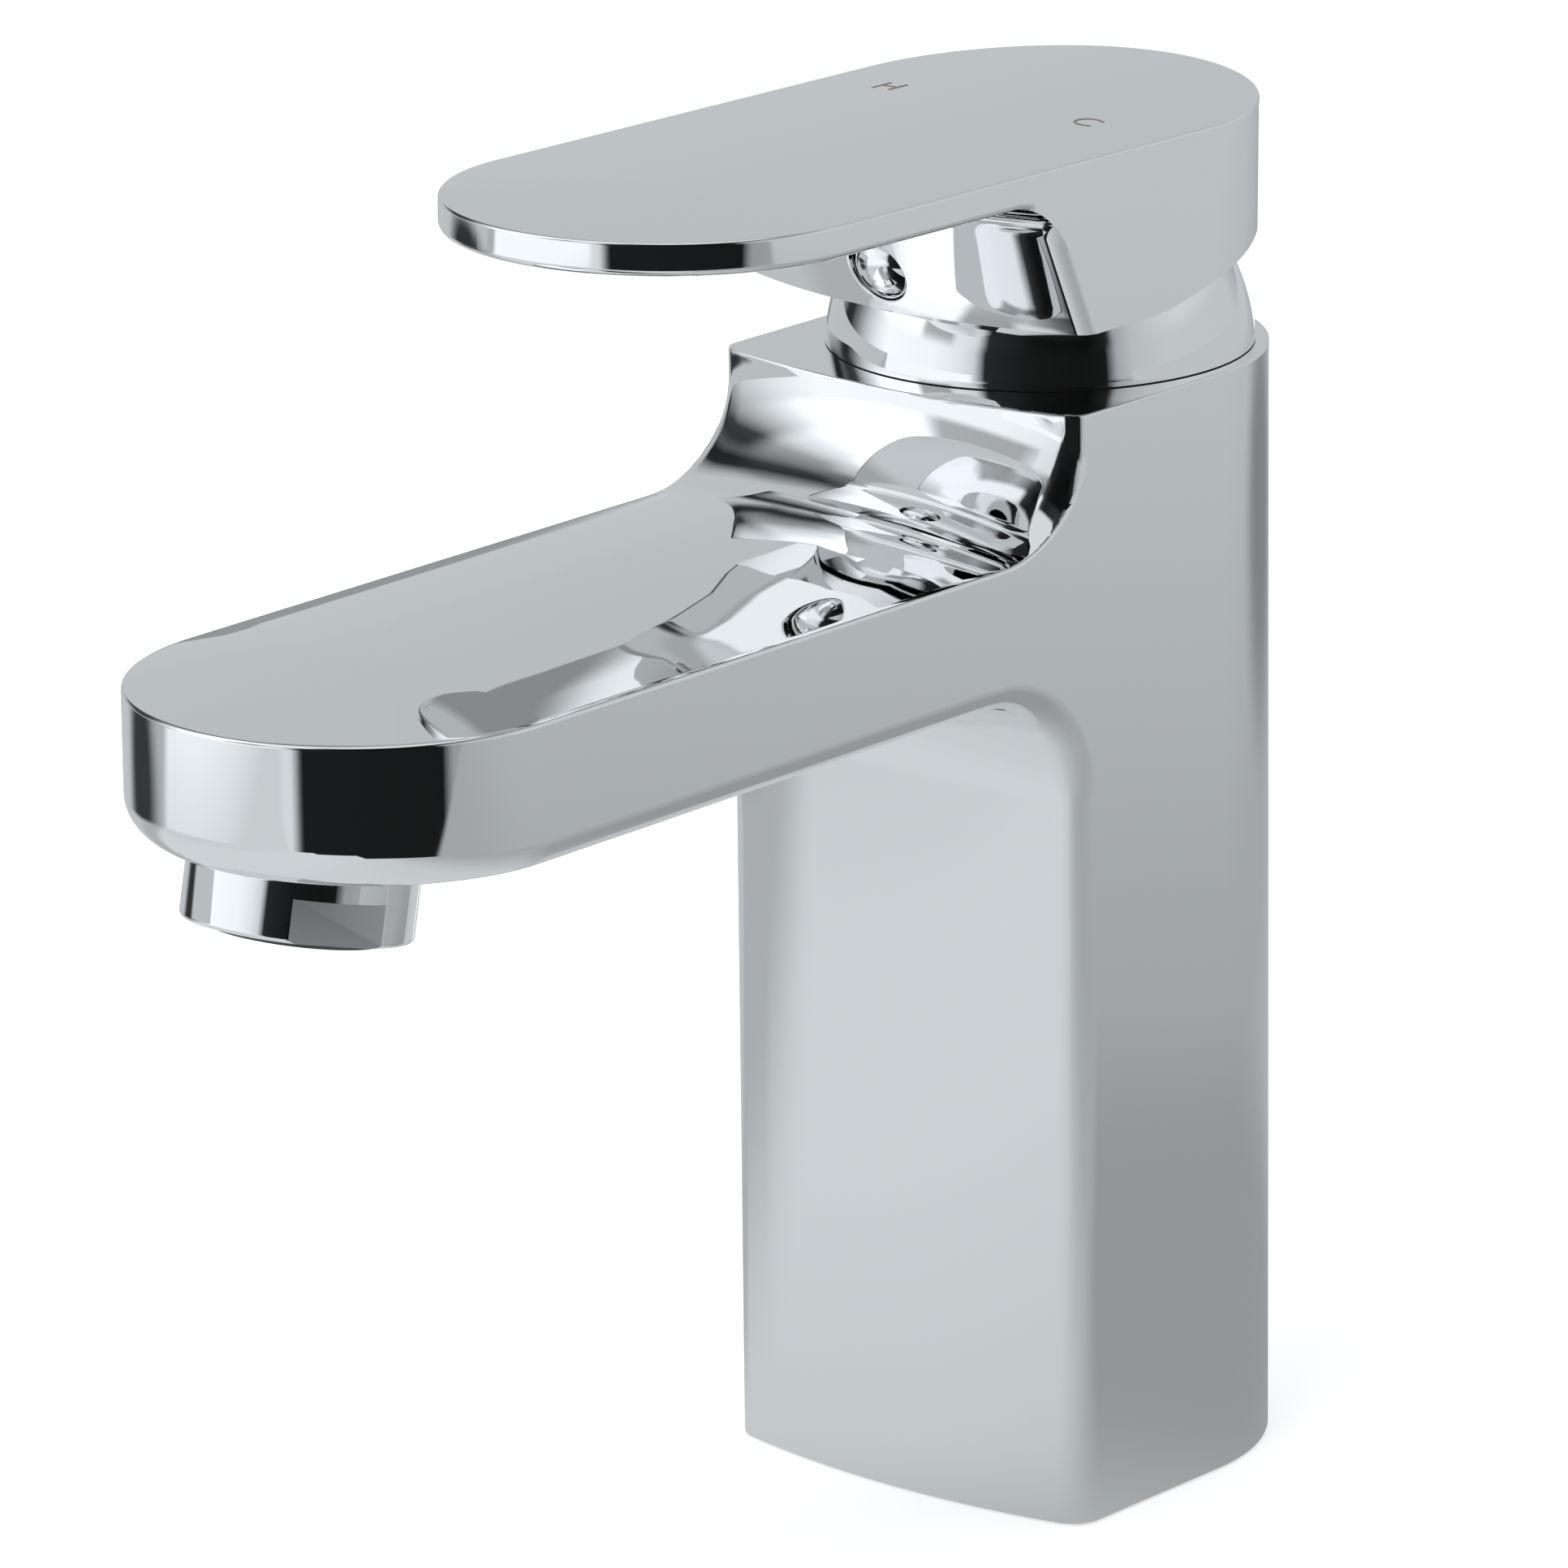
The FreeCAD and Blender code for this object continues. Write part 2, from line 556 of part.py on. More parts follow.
def cartridge_rotor():
    """Turning piece that holds the tilt pin and guides the disc carrier between two rails."""
    piece = disc(housing_inside - RUN_GAP, rotor_low, flange_top)
    piece = piece.fuse(disc(neck_inside - RUN_GAP, rotor_low, nut_top))
    rail_low = carrier_low + RUN_GAP
    guide = slab(CARRIER_WIDTH / 2 + RUN_GAP, rail_low - OVERRUN, rotor_low)
    piece = piece.fuse(disc(moving_disc_radius, rail_low, rotor_low + OVERRUN).cut(guide))
    lean = math.tan(math.radians(TILT_MAX))
    tilted_half = STEM_SIDE / 2 / math.cos(math.radians(TILT_MAX)) + 2 * RUN_GAP
    front = (pivot_height - rotor_low) * lean + tilted_half
    rear = (nut_top - pivot_height) * lean + tilted_half
    x = STEM_SIDE / 2 + RUN_GAP
    slot = prism([(-x, -front), (x, -front), (x, rear), (-x, rear)], rotor_low - OVERRUN, nut_top + OVERRUN)
    return piece.cut(slot).cut(bar(PIN_DIA / 2, V(-TALL, 0, pivot_height), V(TALL, 0, pivot_height)))


def stem_pivot_pin():
    reach = neck_inside - 3 * RUN_GAP
    return bar(PIN_DIA / 2, V(-reach, 0, pivot_height), V(reach, 0, pivot_height))


def cartridge_stem():
    half = STEM_SIDE / 2
    square = [(-half, -half), (half, -half), (half, half), (-half, half)]
    shank_low = pivot_height - STEM_BELOW
    shank = prism(square, shank_low, stem_top)
    shank = shank.makeChamfer(STEM_CHAMFER, edges_where(shank, lambda b: b.ZMin > stem_top - NEAR))
    neck = disc(BALL_DIA / 2 - 2 * BALL_GAP, ball_height, shank_low + OVERRUN)
    ball = Part.makeSphere(BALL_DIA / 2, V(0, 0, ball_height))
    hole = bar(PIN_DIA / 2 + PIN_GAP, V(-STEM_SIDE, 0, pivot_height), V(STEM_SIDE, 0, pivot_height))
    return shank.fuse(neck).fuse(ball).cut(hole)


# ---------------------------------------------------------------- lock nut, limit ring and dome
def cartridge_lock_nut():
    nut = disc(nut_radius - FIT, shoulder, thread_top).fuse(hexagon(NUT_HEX, thread_top, nut_top))
    return nut.cut(disc(NECK_DIA / 2 + RUN_GAP, shoulder - OVERRUN, nut_top + OVERRUN))


def temperature_limit_ring():
    top = nut_top + LIMIT_RING_HEIGHT
    outer = LIMIT_RING_OUTER / 2
    band = ring(outer, neck_inside + FIT, nut_top, top)
    for k in range(LIMIT_NOTCHES):
        turn = 2 * math.pi * k / LIMIT_NOTCHES
        x = outer * math.cos(turn)
        y = outer * math.sin(turn)
        band = band.cut(disc(LIMIT_NOTCH / 2, nut_top - OVERRUN, top + OVERRUN, x, y))
    return band


def dome_cover():
    """Spherical shell, open at the top, with a ring inside that grips the lock nut's corners."""
    low = BODY_HEIGHT + DOME_SEAL_HEIGHT
    centre = V(0, 0, pivot_height)
    shell = Part.makeSphere(dome_radius, centre).cut(Part.makeSphere(dome_radius - DOME_WALL, centre))
    shell = shell.common(disc(2 * dome_radius, low, pivot_height + DOME_TRIM))
    inside = Part.makeSphere(dome_radius - DOME_WALL / 2, centre)
    return shell.fuse(ring(dome_radius, nut_corner + FIT, low, nut_top).common(inside))


def dome_seal():
    outer = dome_radius - DOME_SEAL_HEIGHT / 2
    return ring(outer, outer - DOME_SEAL_WIDTH, BODY_HEIGHT, BODY_HEIGHT + DOME_SEAL_HEIGHT)


# ---------------------------------------------------------------- handle
def below_plane(height, rise, low):
    """Everything under a plane that climbs towards -Y, given its height over the cartridge axis."""
    reach = TALL / 2
    lift = reach * math.tan(math.radians(rise))
    corners = [V(0, reach, low), V(0, -reach, low), V(0, -reach, height + lift), V(0, reach, height - lift)]
    side = Part.Face(Part.makePolygon(corners + corners[:1]))
    side.translate(V(-reach, 0, 0))
    return side.extrude(V(2 * reach, 0, 0))


def room_below_blade():
    """Finger room in front of the hub, whose front leans forward as it climbs to the blade."""
    low = skirt_bottom - HUB_BLEND
    height = handle_top + HUB_BLEND - low
    lean = math.tan(math.radians(HUB_LEAN))
    depth = hub_depth - (skirt_bottom - low) * lean
    wire = space_before_wall(half_handle, depth, HUB_BOW, HUB_CORNER, low)
    room = Part.Face(wire).extrude(V(0, -height * lean, height))
    room = room.common(below_plane(blade_under, HANDLE_RISE, low - OVERRUN))
    wall_y = -(hub_depth + (blade_under - skirt_bottom) * lean)
    foot = edges_where(room, lambda b: b.ZMin > blade_under - OVERRUN and b.XMin < 0 < b.XMax
                       and b.YMax < 0 and b.YMin > wall_y - BLADE_THICKNESS)
    return room.makeFillet(HUB_BLEND, foot)


def room_below_skirt():
    """The skirt's lower edge runs level, then bends up to the rear, where the lifted lever swings down."""
    turn = math.radians(SKIRT_RELIEF)
    centre = V(0, -SKIRT_LEVEL, skirt_bottom + SKIRT_BEND)

    def on_bend(angle):
        return V(0, centre.y + SKIRT_BEND * math.sin(angle), centre.z - SKIRT_BEND * math.cos(angle))

    start, middle, end = on_bend(0), on_bend(turn / 2), on_bend(turn)
    rear = end + V(0, math.cos(turn), math.sin(turn)) * 2 * half_handle
    front = V(0, -HANDLE_REACH, skirt_bottom)
    under_rear = V(0, rear.y, 0)
    under_front = V(0, front.y, 0)
    edges = [line(front, start), arc(start, middle, end), line(end, rear), line(rear, under_rear),
             line(under_rear, under_front), line(under_front, front)]
    side = Part.Face(Part.Wire(edges))
    side.translate(V(-2 * half_handle, 0, 0))
    return side.extrude(V(4 * half_handle, 0, 0))


def grub_axis():
    """Point on the hub's front where the screw hole starts, and the way it runs in."""
    lean = math.tan(math.radians(HUB_LEAN))
    mouth = V(0, -(hub_depth + GRUB_RISE * lean), grub_height)
    way = V(0, math.cos(math.radians(GRUB_TILT)), math.sin(math.radians(GRUB_TILT)))
    return mouth, way


def grub_tip():
    mouth, way = grub_axis()
    return mouth + way * ((-STEM_SIDE / 2 - mouth.y) / way.y)


def handle():
    block = stadium(half_handle, handle_front, skirt_bottom - HUB_BLEND, handle_top + 2 * HUB_BLEND)
    block = block.common(crowned_solid(half_handle, handle_front, handle_top + HANDLE_CROWN, HANDLE_CROWN))
    block = block.makeFillet(EDGE_BREAK, edges_where(block, lambda b: b.ZMin > handle_top - EDGE_BREAK
                                                     and b.XLength < NEAR))
    block.rotate(V(0, 0, handle_top), V(1, 0, 0), -HANDLE_RISE)
    block = block.cut(room_below_skirt()).cut(room_below_blade()).removeSplitter()
    lower = edges_where(block, lambda b: b.ZMin > blade_under and b.YMin < handle_front
                        and b.ZMax < blade_under + BLADE_THICKNESS / 2)
    block = block.makeFillet(BLADE_ROUND, lower)
    mouth = stem_top - SOCKET_DEPTH
    cup = Part.makeSphere(dome_radius + CUP_GAP, V(0, 0, pivot_height))
    boss = disc(STEM_SIDE / 2 + SOCKET_WALL, mouth, handle_top)
    block = block.cut(cup.cut(boss))
    s = STEM_SIDE / 2 + FIT
    block = block.cut(prism([(-s, -s), (s, -s), (s, s), (-s, s)], mouth - OVERRUN, stem_top + RUN_GAP))
    start, way = grub_axis()
    block = block.cut(bar(GRUB_DIA / 2, start - way * GRUB_MOUTH, grub_tip() + way * OVERRUN))
    return block.cut(bar(GRUB_MOUTH / 2, start - way * GRUB_MOUTH, start + way * GRUB_MOUTH_DEPTH))


def handle_grub_screw():
    way = grub_axis()[1]
    radius = GRUB_DIA / 2 - FIT / 2
    tip = grub_tip() - way * (radius * way.z / way.y + FIT)
    screw = bar(radius, tip - way * GRUB_LENGTH, tip)
    key = hexagon(GRUB_KEY, 0, GRUB_LENGTH / 2)
    key.rotate(V(0, 0, 0), V(1, 0, 0), -90 + GRUB_TILT)
    key.translate(tip - way * (GRUB_LENGTH + FIT))
    return screw.cut(key)


# ---------------------------------------------------------------- aerator
def aerator_housing():
    rise = aerator_seat_rise()
    low = -AERATOR_DROP
    top = rise + AERATOR_NECK
    shell = disc(aerator_radius, low, rise).fuse(disc(AERATOR_THREAD / 2, rise - OVERRUN, top))
    shell = shell.makeFillet(EDGE_BREAK, edges_where(shell, lambda b: b.ZMax < low + NEAR))
    shell = shell.cut(disc(aerator_inside, -AERATOR_LEDGE, top + OVERRUN))
    shell = shell.cut(disc(aerator_inside - AERATOR_WALL / 2, low - OVERRUN, 0))
    for side in (0, 180):
        turn = AERATOR_FLAT_TURN - 90 + side
        flat = Part.makeBox(aerator_radius, 2 * aerator_radius, AERATOR_FLAT_HEIGHT + OVERRUN)
        flat.translate(V(aerator_radius - AERATOR_FLAT_CUT, -aerator_radius, low - OVERRUN))
        flat.rotate(V(0, 0, 0), UP, turn)
        shell = shell.cut(flat)
    return tilted(shell)


def aerator_insert():
    """Plastic core: a flange on the housing's ledge, a skirt and radial ribs that straighten the jet."""
    skirt = aerator_inside - FIT - AERATOR_WALL / 2
    low = -AERATOR_DROP - INSERT_PROUD
    core = disc(aerator_inside - FIT, -AERATOR_LEDGE, 0).fuse(disc(skirt, low, 0))
    bore = skirt - AERATOR_WALL / 2 - INSERT_RIB
    core = core.cut(disc(bore, low - OVERRUN, OVERRUN))
    core = core.fuse(disc(INSERT_HUB / 2, low, -AERATOR_LEDGE))
    for k in range(INSERT_RIBS):
        rib = Part.makeBox(bore + INSERT_RIB / 2, INSERT_RIB, AERATOR_DROP - AERATOR_LEDGE)
        rib.translate(V(0, -INSERT_RIB / 2, low + INSERT_PROUD))
        rib.rotate(V(0, 0, 0), UP, 360.0 * k / INSERT_RIBS)
        core = core.fuse(rib)
    return tilted(core)


def aerator_screen():
    """Fine plate with rings of round holes."""
    plate = disc(aerator_inside - FIT, 0, SCREEN_THICKNESS)
    holes = [(0.0, 0.0)]
    for lap in (1, 2):
        for k in range(6 * lap):
            turn = 2 * math.pi * k / (6 * lap)
            holes.append((lap * SCREEN_PITCH * math.cos(turn), lap * SCREEN_PITCH * math.sin(turn)))
    for x, y in holes:
        plate = plate.cut(disc(SCREEN_HOLE / 2, -OVERRUN, SCREEN_THICKNESS + OVERRUN, x, y))
    return tilted(plate)


def aerator_washer():
    low = aerator_seat_rise() + AERATOR_NECK
    outer = AERATOR_THREAD / 2
    return tilted(ring(outer - FIT, outer - WASHER_WIDTH, low, low + WASHER_HEIGHT))


NODES = {
    "faucet_body": faucet_body,
    "base_seal": base_seal,
    "cartridge_base": cartridge_base,
    "base_port_seals": lambda: port_seals(seat_height),
    "disc_port_seals": lambda: port_seals(base_top - SEAL_HEIGHT),
    "fixed_ceramic_disc": fixed_ceramic_disc,
    "cartridge_housing": cartridge_housing,
    "cartridge_lock_nut": cartridge_lock_nut,
    "temperature_limit_ring": temperature_limit_ring,
    "dome_seal": dome_seal,
    "dome_cover": dome_cover,
    "aerator_housing": aerator_housing,
    "aerator_insert": aerator_insert,
    "aerator_screen": aerator_screen,
    "aerator_washer": aerator_washer,
    "cartridge_rotor": cartridge_rotor,
    "stem_pivot_pin": stem_pivot_pin,
    "cartridge_stem": cartridge_stem,
    "handle": handle,
    "handle_grub_screw": handle_grub_screw,
    "disc_carrier": disc_carrier,
    "moving_ceramic_disc": moving_ceramic_disc,
}

os.makedirs("parts", exist_ok=True)
for node, make in NODES.items():
    save(node, make())
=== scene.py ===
"""Looks of a single-lever basin mixer: polished shells, seals, marks and a small studio around the frame.

Laid out as a Blender add-on and run as a script. Metres, in the frame's own axes: the spout points along -Y.
"""

import json
import math

import bmesh
import bpy
from bpy.props import FloatProperty, FloatVectorProperty, PointerProperty
from mathutils import Matrix, Vector


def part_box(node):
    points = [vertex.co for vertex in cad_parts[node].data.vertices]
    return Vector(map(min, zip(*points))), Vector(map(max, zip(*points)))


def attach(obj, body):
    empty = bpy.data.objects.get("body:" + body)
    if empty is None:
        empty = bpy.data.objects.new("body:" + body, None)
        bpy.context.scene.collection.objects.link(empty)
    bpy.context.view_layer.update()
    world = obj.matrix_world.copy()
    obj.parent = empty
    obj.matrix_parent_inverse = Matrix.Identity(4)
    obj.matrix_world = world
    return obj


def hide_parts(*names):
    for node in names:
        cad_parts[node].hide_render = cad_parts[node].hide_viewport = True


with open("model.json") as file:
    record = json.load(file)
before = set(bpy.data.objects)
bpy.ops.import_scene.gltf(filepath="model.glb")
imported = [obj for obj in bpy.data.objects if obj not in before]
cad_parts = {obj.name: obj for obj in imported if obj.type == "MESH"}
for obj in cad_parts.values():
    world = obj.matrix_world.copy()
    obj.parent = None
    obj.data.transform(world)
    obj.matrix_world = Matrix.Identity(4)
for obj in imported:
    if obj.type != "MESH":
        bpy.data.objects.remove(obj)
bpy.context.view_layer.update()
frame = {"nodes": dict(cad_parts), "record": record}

bl_info = {
    "name": "Basin Mixer Looks",
    "version": (1, 0, 0),
    "blender": (4, 5, 0),
    "location": "3D View > Sidebar > Basin Mixer",
    "description": "Builds the polished shells of a basin mixer and the studio that it stands in",
    "category": "Object",
}

body_low, body_high = (Vector(corner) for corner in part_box("faucet_body"))
dome_low, dome_high = (Vector(corner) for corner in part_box("dome_cover"))
handle_low, handle_high = (Vector(corner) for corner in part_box("handle"))
pivot_height = frame["record"]["behaviour"]["joints"][0]["pos_m"][2]

UP = Vector((0, 0, 1))
MERGE = 2e-6                # vertices closer than this are one
NEAR = 2e-5                 # tolerance when edges are picked by their place
SHARP = math.radians(35)    # an edge that turns by more than this can be rounded
OVERRUN = 0.002             # cutters run this far past the faces that they open
MARGIN = 0.0005             # a cutter's nearest points outside an edge that is rounded later
INSIDE_RIM = 2.4            # its last points inside such an edge, in widths of the rounding
PAST_CORNER = 0.5           # angle past a wall's corner over which its cutter runs out to the side
FAR = 0.2                   # the cutters of the finger rooms are drawn out this far
NOSE_STEPS = 65             # points round a nose, and columns across the top behind it
BLEND_STEPS = 21            # points along each hollow blend
HALVINGS = 60               # of a bracket, until it is as narrow as a number can show
ROUND_SIDES = 96            # sides of round cutters that leave a visible edge
TURNED_STEPS = 128          # steps round a turned shell


# ---------------------------------------------------------------- settings
def length(name, text, value):
    """A length that can be set."""
    return FloatProperty(name=name, description=text, default=value, unit="LENGTH", precision=5)


def angle(name, text, degrees):
    """An angle that can be set, with its default in degrees."""
    return FloatProperty(name=name, description=text, default=math.radians(degrees), unit="ROTATION")


def colour(name, text, value):
    """A colour that can be set."""
    return FloatVectorProperty(name=name, description=text, default=value, size=3, min=0, max=1,
                               subtype="COLOR")


def share(name, text, value):
    """A share of 0 to 1 that can be set."""
    return FloatProperty(name=name, description=text, default=value, min=0, max=1, subtype="FACTOR")


class BodySizes(bpy.types.PropertyGroup):
    """Sizes of the column and the spout that the frame's box doesn't give."""
    front_depth: length("Front depth", "Cartridge axis to the crest of the column's front wall", 0.0272)
    front_bow: length("Front bow", "How far that wall bulges between its corners", 0.003)
    front_corner: length("Front corner", "Upright corner radius beside the step", 0.0028)
    corner_turn: angle("Corner turn", "How far that corner turns before the side takes over", 70)
    step_height: length("Step height", "Column top down to the spout's upper edge", 0.0142)
    spout_depth: length("Spout depth", "Spout's upper edge down to its underside", 0.0156)
    spout_crown: length("Spout crown", "Rise of the spout's top between its two edges", 0.0032)
    step_blend: length("Step blend", "Hollow blend between the spout's top and the front wall", 0.013)
    throat_blend: length("Throat blend", "Hollow blend under the spout", 0.013)
    nose_round: length("Nose rounding", "Rounding of the lower edge at the spout's tip", 0.0047)
    lower_round: length("Lower rounding", "Rounding of the spout's lower edge and the front corners", 0.003)
    edge_break: length("Edge break", "Small rounding on the crisp outer edges", 0.00035)
    foot_break: length("Foot break", "Small rounding on the column's top and foot edges", 0.0003)
    base_wall: length("Base wall", "Wall of the open hollow under the column", 0.0054)
    hollow_height: length("Hollow height", "Deck to the roof of that hollow", 0.066)
    seal_margin: length("Seal margin", "Outer edge of the foot to the seal's groove", 0.0014)
    seal_width: length("Seal width", "Width of that groove", 0.0024)
    seal_depth: length("Seal depth", "Depth of that groove", 0.002)
    bore_radius: length("Bore radius", "Cartridge bore in the top of the column", 0.0205)
    bore_depth: length("Bore depth", "Depth of that bore", 0.0285)
    plated_rim: length("Plated rim", "How far the plate reaches down into that bore", 0.001)


class DomeSizes(bpy.types.PropertyGroup):
    """Sizes of the domed cover."""
    wall: length("Wall", "Thickness of the dome", 0.0012)
    lip: length("Lip", "Thickness of the lip round the seal", 0.00014)
    lip_drop: length("Lip drop", "How far that lip comes down", 0.00038)


class HandleSizes(bpy.types.PropertyGroup):
    """Sizes of the lever handle that the frame's box doesn't give."""
    cap: length("Cap", "Top of the dome's sphere up to the handle's upper edge", 0.004687)
    rise: angle("Rise", "Climb of the top towards the tip", 0.9)
    crown: length("Crown", "Rise of the handle's top between its two edges", 0.0008)
    blade: length("Blade thickness", "Thickness of the blade at its edges", 0.0036)
    blade_round: length("Blade rounding", "Rounding of the blade's lower edge", 0.0008)
    skirt_rise: length("Skirt rise", "Tilt axis up to the skirt's lower edge", 0.0093)
    skirt_level: length("Skirt level", "The skirt stays level back to this far in front of the axis", 0.011)
    skirt_bend: length("Skirt bend", "Radius on which the skirt then turns upwards", 0.030)
    skirt_relief: angle("Skirt relief", "Climb of the skirt towards the rear", 13)
    hub_forward: length("Hub forward", "Front of the dome to the hub's lower front edge", 0.002)
    hub_bow: length("Hub bow", "How far the hub's front bulges", 0.0046)
    hub_corner: length("Hub corner", "Upright corner radius of the hub", 0.0024)
    hub_lean: angle("Hub lean", "Forward lean of the hub's front", 24)
    hub_blend: length("Hub blend", "Hollow blend between the hub and the blade", 0.007)
    cup_gap: length("Cup gap", "Room between the dome and the handle's cup", 0.0005)
    boss_radius: length("Boss radius", "Boss that takes the lever stem", 0.009)
    boss_low: length("Boss foot", "Tilt axis up to the foot of that boss", 0.0165)
    corner_turn: angle("Corner turn", "How far the hub corner turns before the side takes over", 70)
    edge_break: length("Edge break", "Small rounding on the crisp outer edges", 0.00035)
    socket: length("Socket", "Half the width of the square socket", 0.0041)
    socket_top: length("Socket top", "Tilt axis up to the top of that socket", 0.0233)
    screw_rise: length("Screw rise", "Skirt's lower edge up to the screw hole", 0.0047)
    screw_mouth: length("Screw mouth", "Radius of the screw hole's mouth", 0.0038)
    screw_mouth_depth: length("Screw mouth depth", "Depth of that mouth", 0.005)
    plug_fit: length("Plug fit", "Room round the plug in that mouth", 0.00008)
    plug_bulge: length("Plug bulge", "Rise of the plug's domed face", 0.0017)
    plug_skirt: length("Plug skirt", "Length of the plug behind its domed face", 0.0016)
    plug_sink: length("Plug sink", "Mouth down to the top of the plug's dome", -0.0007)
    screw_hole: length("Screw hole", "Radius of the screw hole behind its mouth", 0.0025)
    screw_tilt: angle("Screw tilt", "Climb of the screw towards the stem", 14)
    mark_height: length("Mark height", "Height of the hot and cold letters", 0.0034)
    mark_spread: length("Mark spread", "Handle's middle line out to each letter", 0.0138)
    mark_forward: length("Mark forward", "Cartridge axis forward to the letters", 0.0087)
    mark_rise: length("Mark rise", "How far the letters stand in and out of the top", 0.00004)


class AeratorSizes(bpy.types.PropertyGroup):
    """Sizes of the aerator's ring."""
    radius: length("Ring radius", "Outer radius of the ring", 0.0121)
    drop: length("Drop", "Underside of the spout to the lower rim", 0.0084)
    tilt: angle("Tilt", "Forward lean of the jet", 12)
    nose_wall: length("Nose wall", "Nose tip back to the ring", 0.0035)
    thread: length("Thread", "Radius of the threaded neck", 0.011)
    neck: length("Neck", "Length of that neck", 0.0036)
    ledge: length("Ledge", "Underside of the spout down to the insert's ledge", 0.003)
    wall: length("Wall", "Wall of the ring's neck", 0.0014)
    rim_round: length("Rim rounding", "Rounding of the ring's lower rim", 0.0005)
    washer: length("Washer", "Thickness of the washer above the neck", 0.0016)
    flat_cut: length("Flat cut", "Depth of the two wrench flats", 0.0011)
    flat_height: length("Flat height", "Height of the two wrench flats", 0.0046)
    flat_turn: angle("Flat turn", "Turn from straight ahead to the first flat", 63)
    fit: length("Fit", "Clearance between the ring and its socket", 0.0001)


class FinishSettings(bpy.types.PropertyGroup):
    """Colours and glosses of the mixer's finishes."""
    chrome: colour("Chrome", "Polished chrome plate", (0.868, 0.870, 0.872))
    chrome_gloss: share("Chrome roughness", "Roughness of the polished chrome", 0.022)
    brushed: colour("Brushed chrome", "Plate on the aerator's wrench flats", (0.60, 0.61, 0.62))
    casting: colour("Raw casting", "Bare brass inside the body", (0.62, 0.47, 0.23))
    brass: colour("Brass", "Turned brass of the nut and the stem", (0.74, 0.56, 0.27))
    steel: colour("Steel", "Screw, pin and screen", (0.56, 0.57, 0.58))
    rubber: colour("Rubber", "Seals and washers", (0.022, 0.022, 0.024))
    insert: colour("Aerator insert", "Plastic jet insert", (0.085, 0.09, 0.095))
    white_plastic: colour("White plastic", "Cartridge housing", (0.74, 0.74, 0.71))
    grey_plastic: colour("Grey plastic", "Cartridge base and moving parts", (0.29, 0.30, 0.31))
    red_plastic: colour("Red plastic", "Temperature limit ring", (0.56, 0.045, 0.03))
    ceramic: colour("Ceramic", "The two discs", (0.79, 0.78, 0.74))
    mark: colour("Marks", "Hot and cold letters", (0.22, 0.18, 0.15))


class StudioSettings(bpy.types.PropertyGroup):
    """Camera, floor and lights."""
    turn: angle("Camera turn", "Camera direction round the column, from straight ahead", 40.725)
    height: angle("Camera height", "Climb of the camera above the floor", 16.582)
    roll: angle("Camera roll", "Roll of the camera about its own axis", -0.634)
    place: FloatVectorProperty(name="Camera place", description="Where the camera stands", size=3,
                               unit="LENGTH", default=(0.7505, -0.91536, 0.42715))
    lens: FloatProperty(name="Lens", description="Focal length in millimetres", default=257.27, min=1)
    soft_light: FloatProperty(name="Soft light", description="Level of the light from all round",
                              default=0.62, min=0)
    lamp: FloatProperty(name="Lamp", description="Power of the large lamp above", default=7.0, min=0,
                        unit="POWER")
    lamp_size: length("Lamp size", "Width of that round lamp", 0.9)


# ---------------------------------------------------------------- modelling helpers
def deselect():
    """Leave nothing selected."""
    for each in list(bpy.context.selected_objects):
        each.select_set(False)


def only(piece):
    """Select one piece and make it the active one."""
    deselect()
    piece.select_set(True)
    bpy.context.view_layer.objects.active = piece


def named(name):
    """Name the primitive that was added last."""
    piece = bpy.context.active_object
    piece.name = name
    piece.data.name = name
    return piece


def edit_all(piece):
    """Go into edit mode with the whole of one piece selected."""
    only(piece)
    bpy.ops.object.mode_set(mode="EDIT")
    bpy.ops.mesh.select_all(action="SELECT")


def leave_edit():
    """Go back to object mode."""
    bpy.ops.object.mode_set(mode="OBJECT")


def face_outwards(piece):
    """Merge doubled vertices and turn every face outwards."""
    edit_all(piece)
    bpy.ops.mesh.remove_doubles(threshold=MERGE)
    bpy.ops.mesh.normals_make_consistent(inside=False)
    leave_edit()


def drawn(name, corners, way):
    """A filled circle drawn out to an outline and extruded along a way."""
    deselect()
    bpy.ops.mesh.primitive_circle_add(vertices=len(corners), fill_type="NGON", location=(0, 0, 0))
    piece = named(name)
    for vertex, corner in zip(piece.data.vertices, corners):
        vertex.co = corner
    edit_all(piece)
    bpy.ops.mesh.extrude_region_move(TRANSFORM_OT_translate={"value": way})
    leave_edit()
    face_outwards(piece)
    return piece


def hung(name, columns, way):
    """A grid hung on its columns of points and extruded along a way into a closed cutter."""
    deselect()
    across = len(columns)
    along = len(columns[0])
    bpy.ops.mesh.primitive_grid_add(x_subdivisions=across - 1, y_subdivisions=along - 1, location=(0, 0, 0))
    piece = named(name)
    places = [columns[i][j] for j in range(along) for i in range(across)]
    if len(places) != len(piece.data.vertices):
        raise RuntimeError("grid of %d points has %d vertices" % (len(places), len(piece.data.vertices)))
    for vertex, place in zip(piece.data.vertices, places):
        vertex.co = place
    edit_all(piece)
    bpy.ops.mesh.remove_doubles(threshold=MERGE)
    bpy.ops.mesh.select_all(action="SELECT")
    bpy.ops.mesh.extrude_region_move(TRANSFORM_OT_translate={"value": way})
    leave_edit()
    face_outwards(piece)
    return piece


def turned(name, profile, steps):
    """A closed profile of (radius, height) points spun once round the Z axis."""
    deselect()
    bpy.ops.mesh.primitive_circle_add(vertices=len(profile), fill_type="NOTHING", location=(0, 0, 0))
    piece = named(name)
    for vertex, (radius, height) in zip(piece.data.vertices, profile):
        vertex.co = (radius, 0, height)
    edit_all(piece)
    bpy.ops.mesh.spin(steps=steps, angle=2 * math.pi, center=(0, 0, 0), axis=(0, 0, 1))
    leave_edit()
    face_outwards(piece)
    return piece


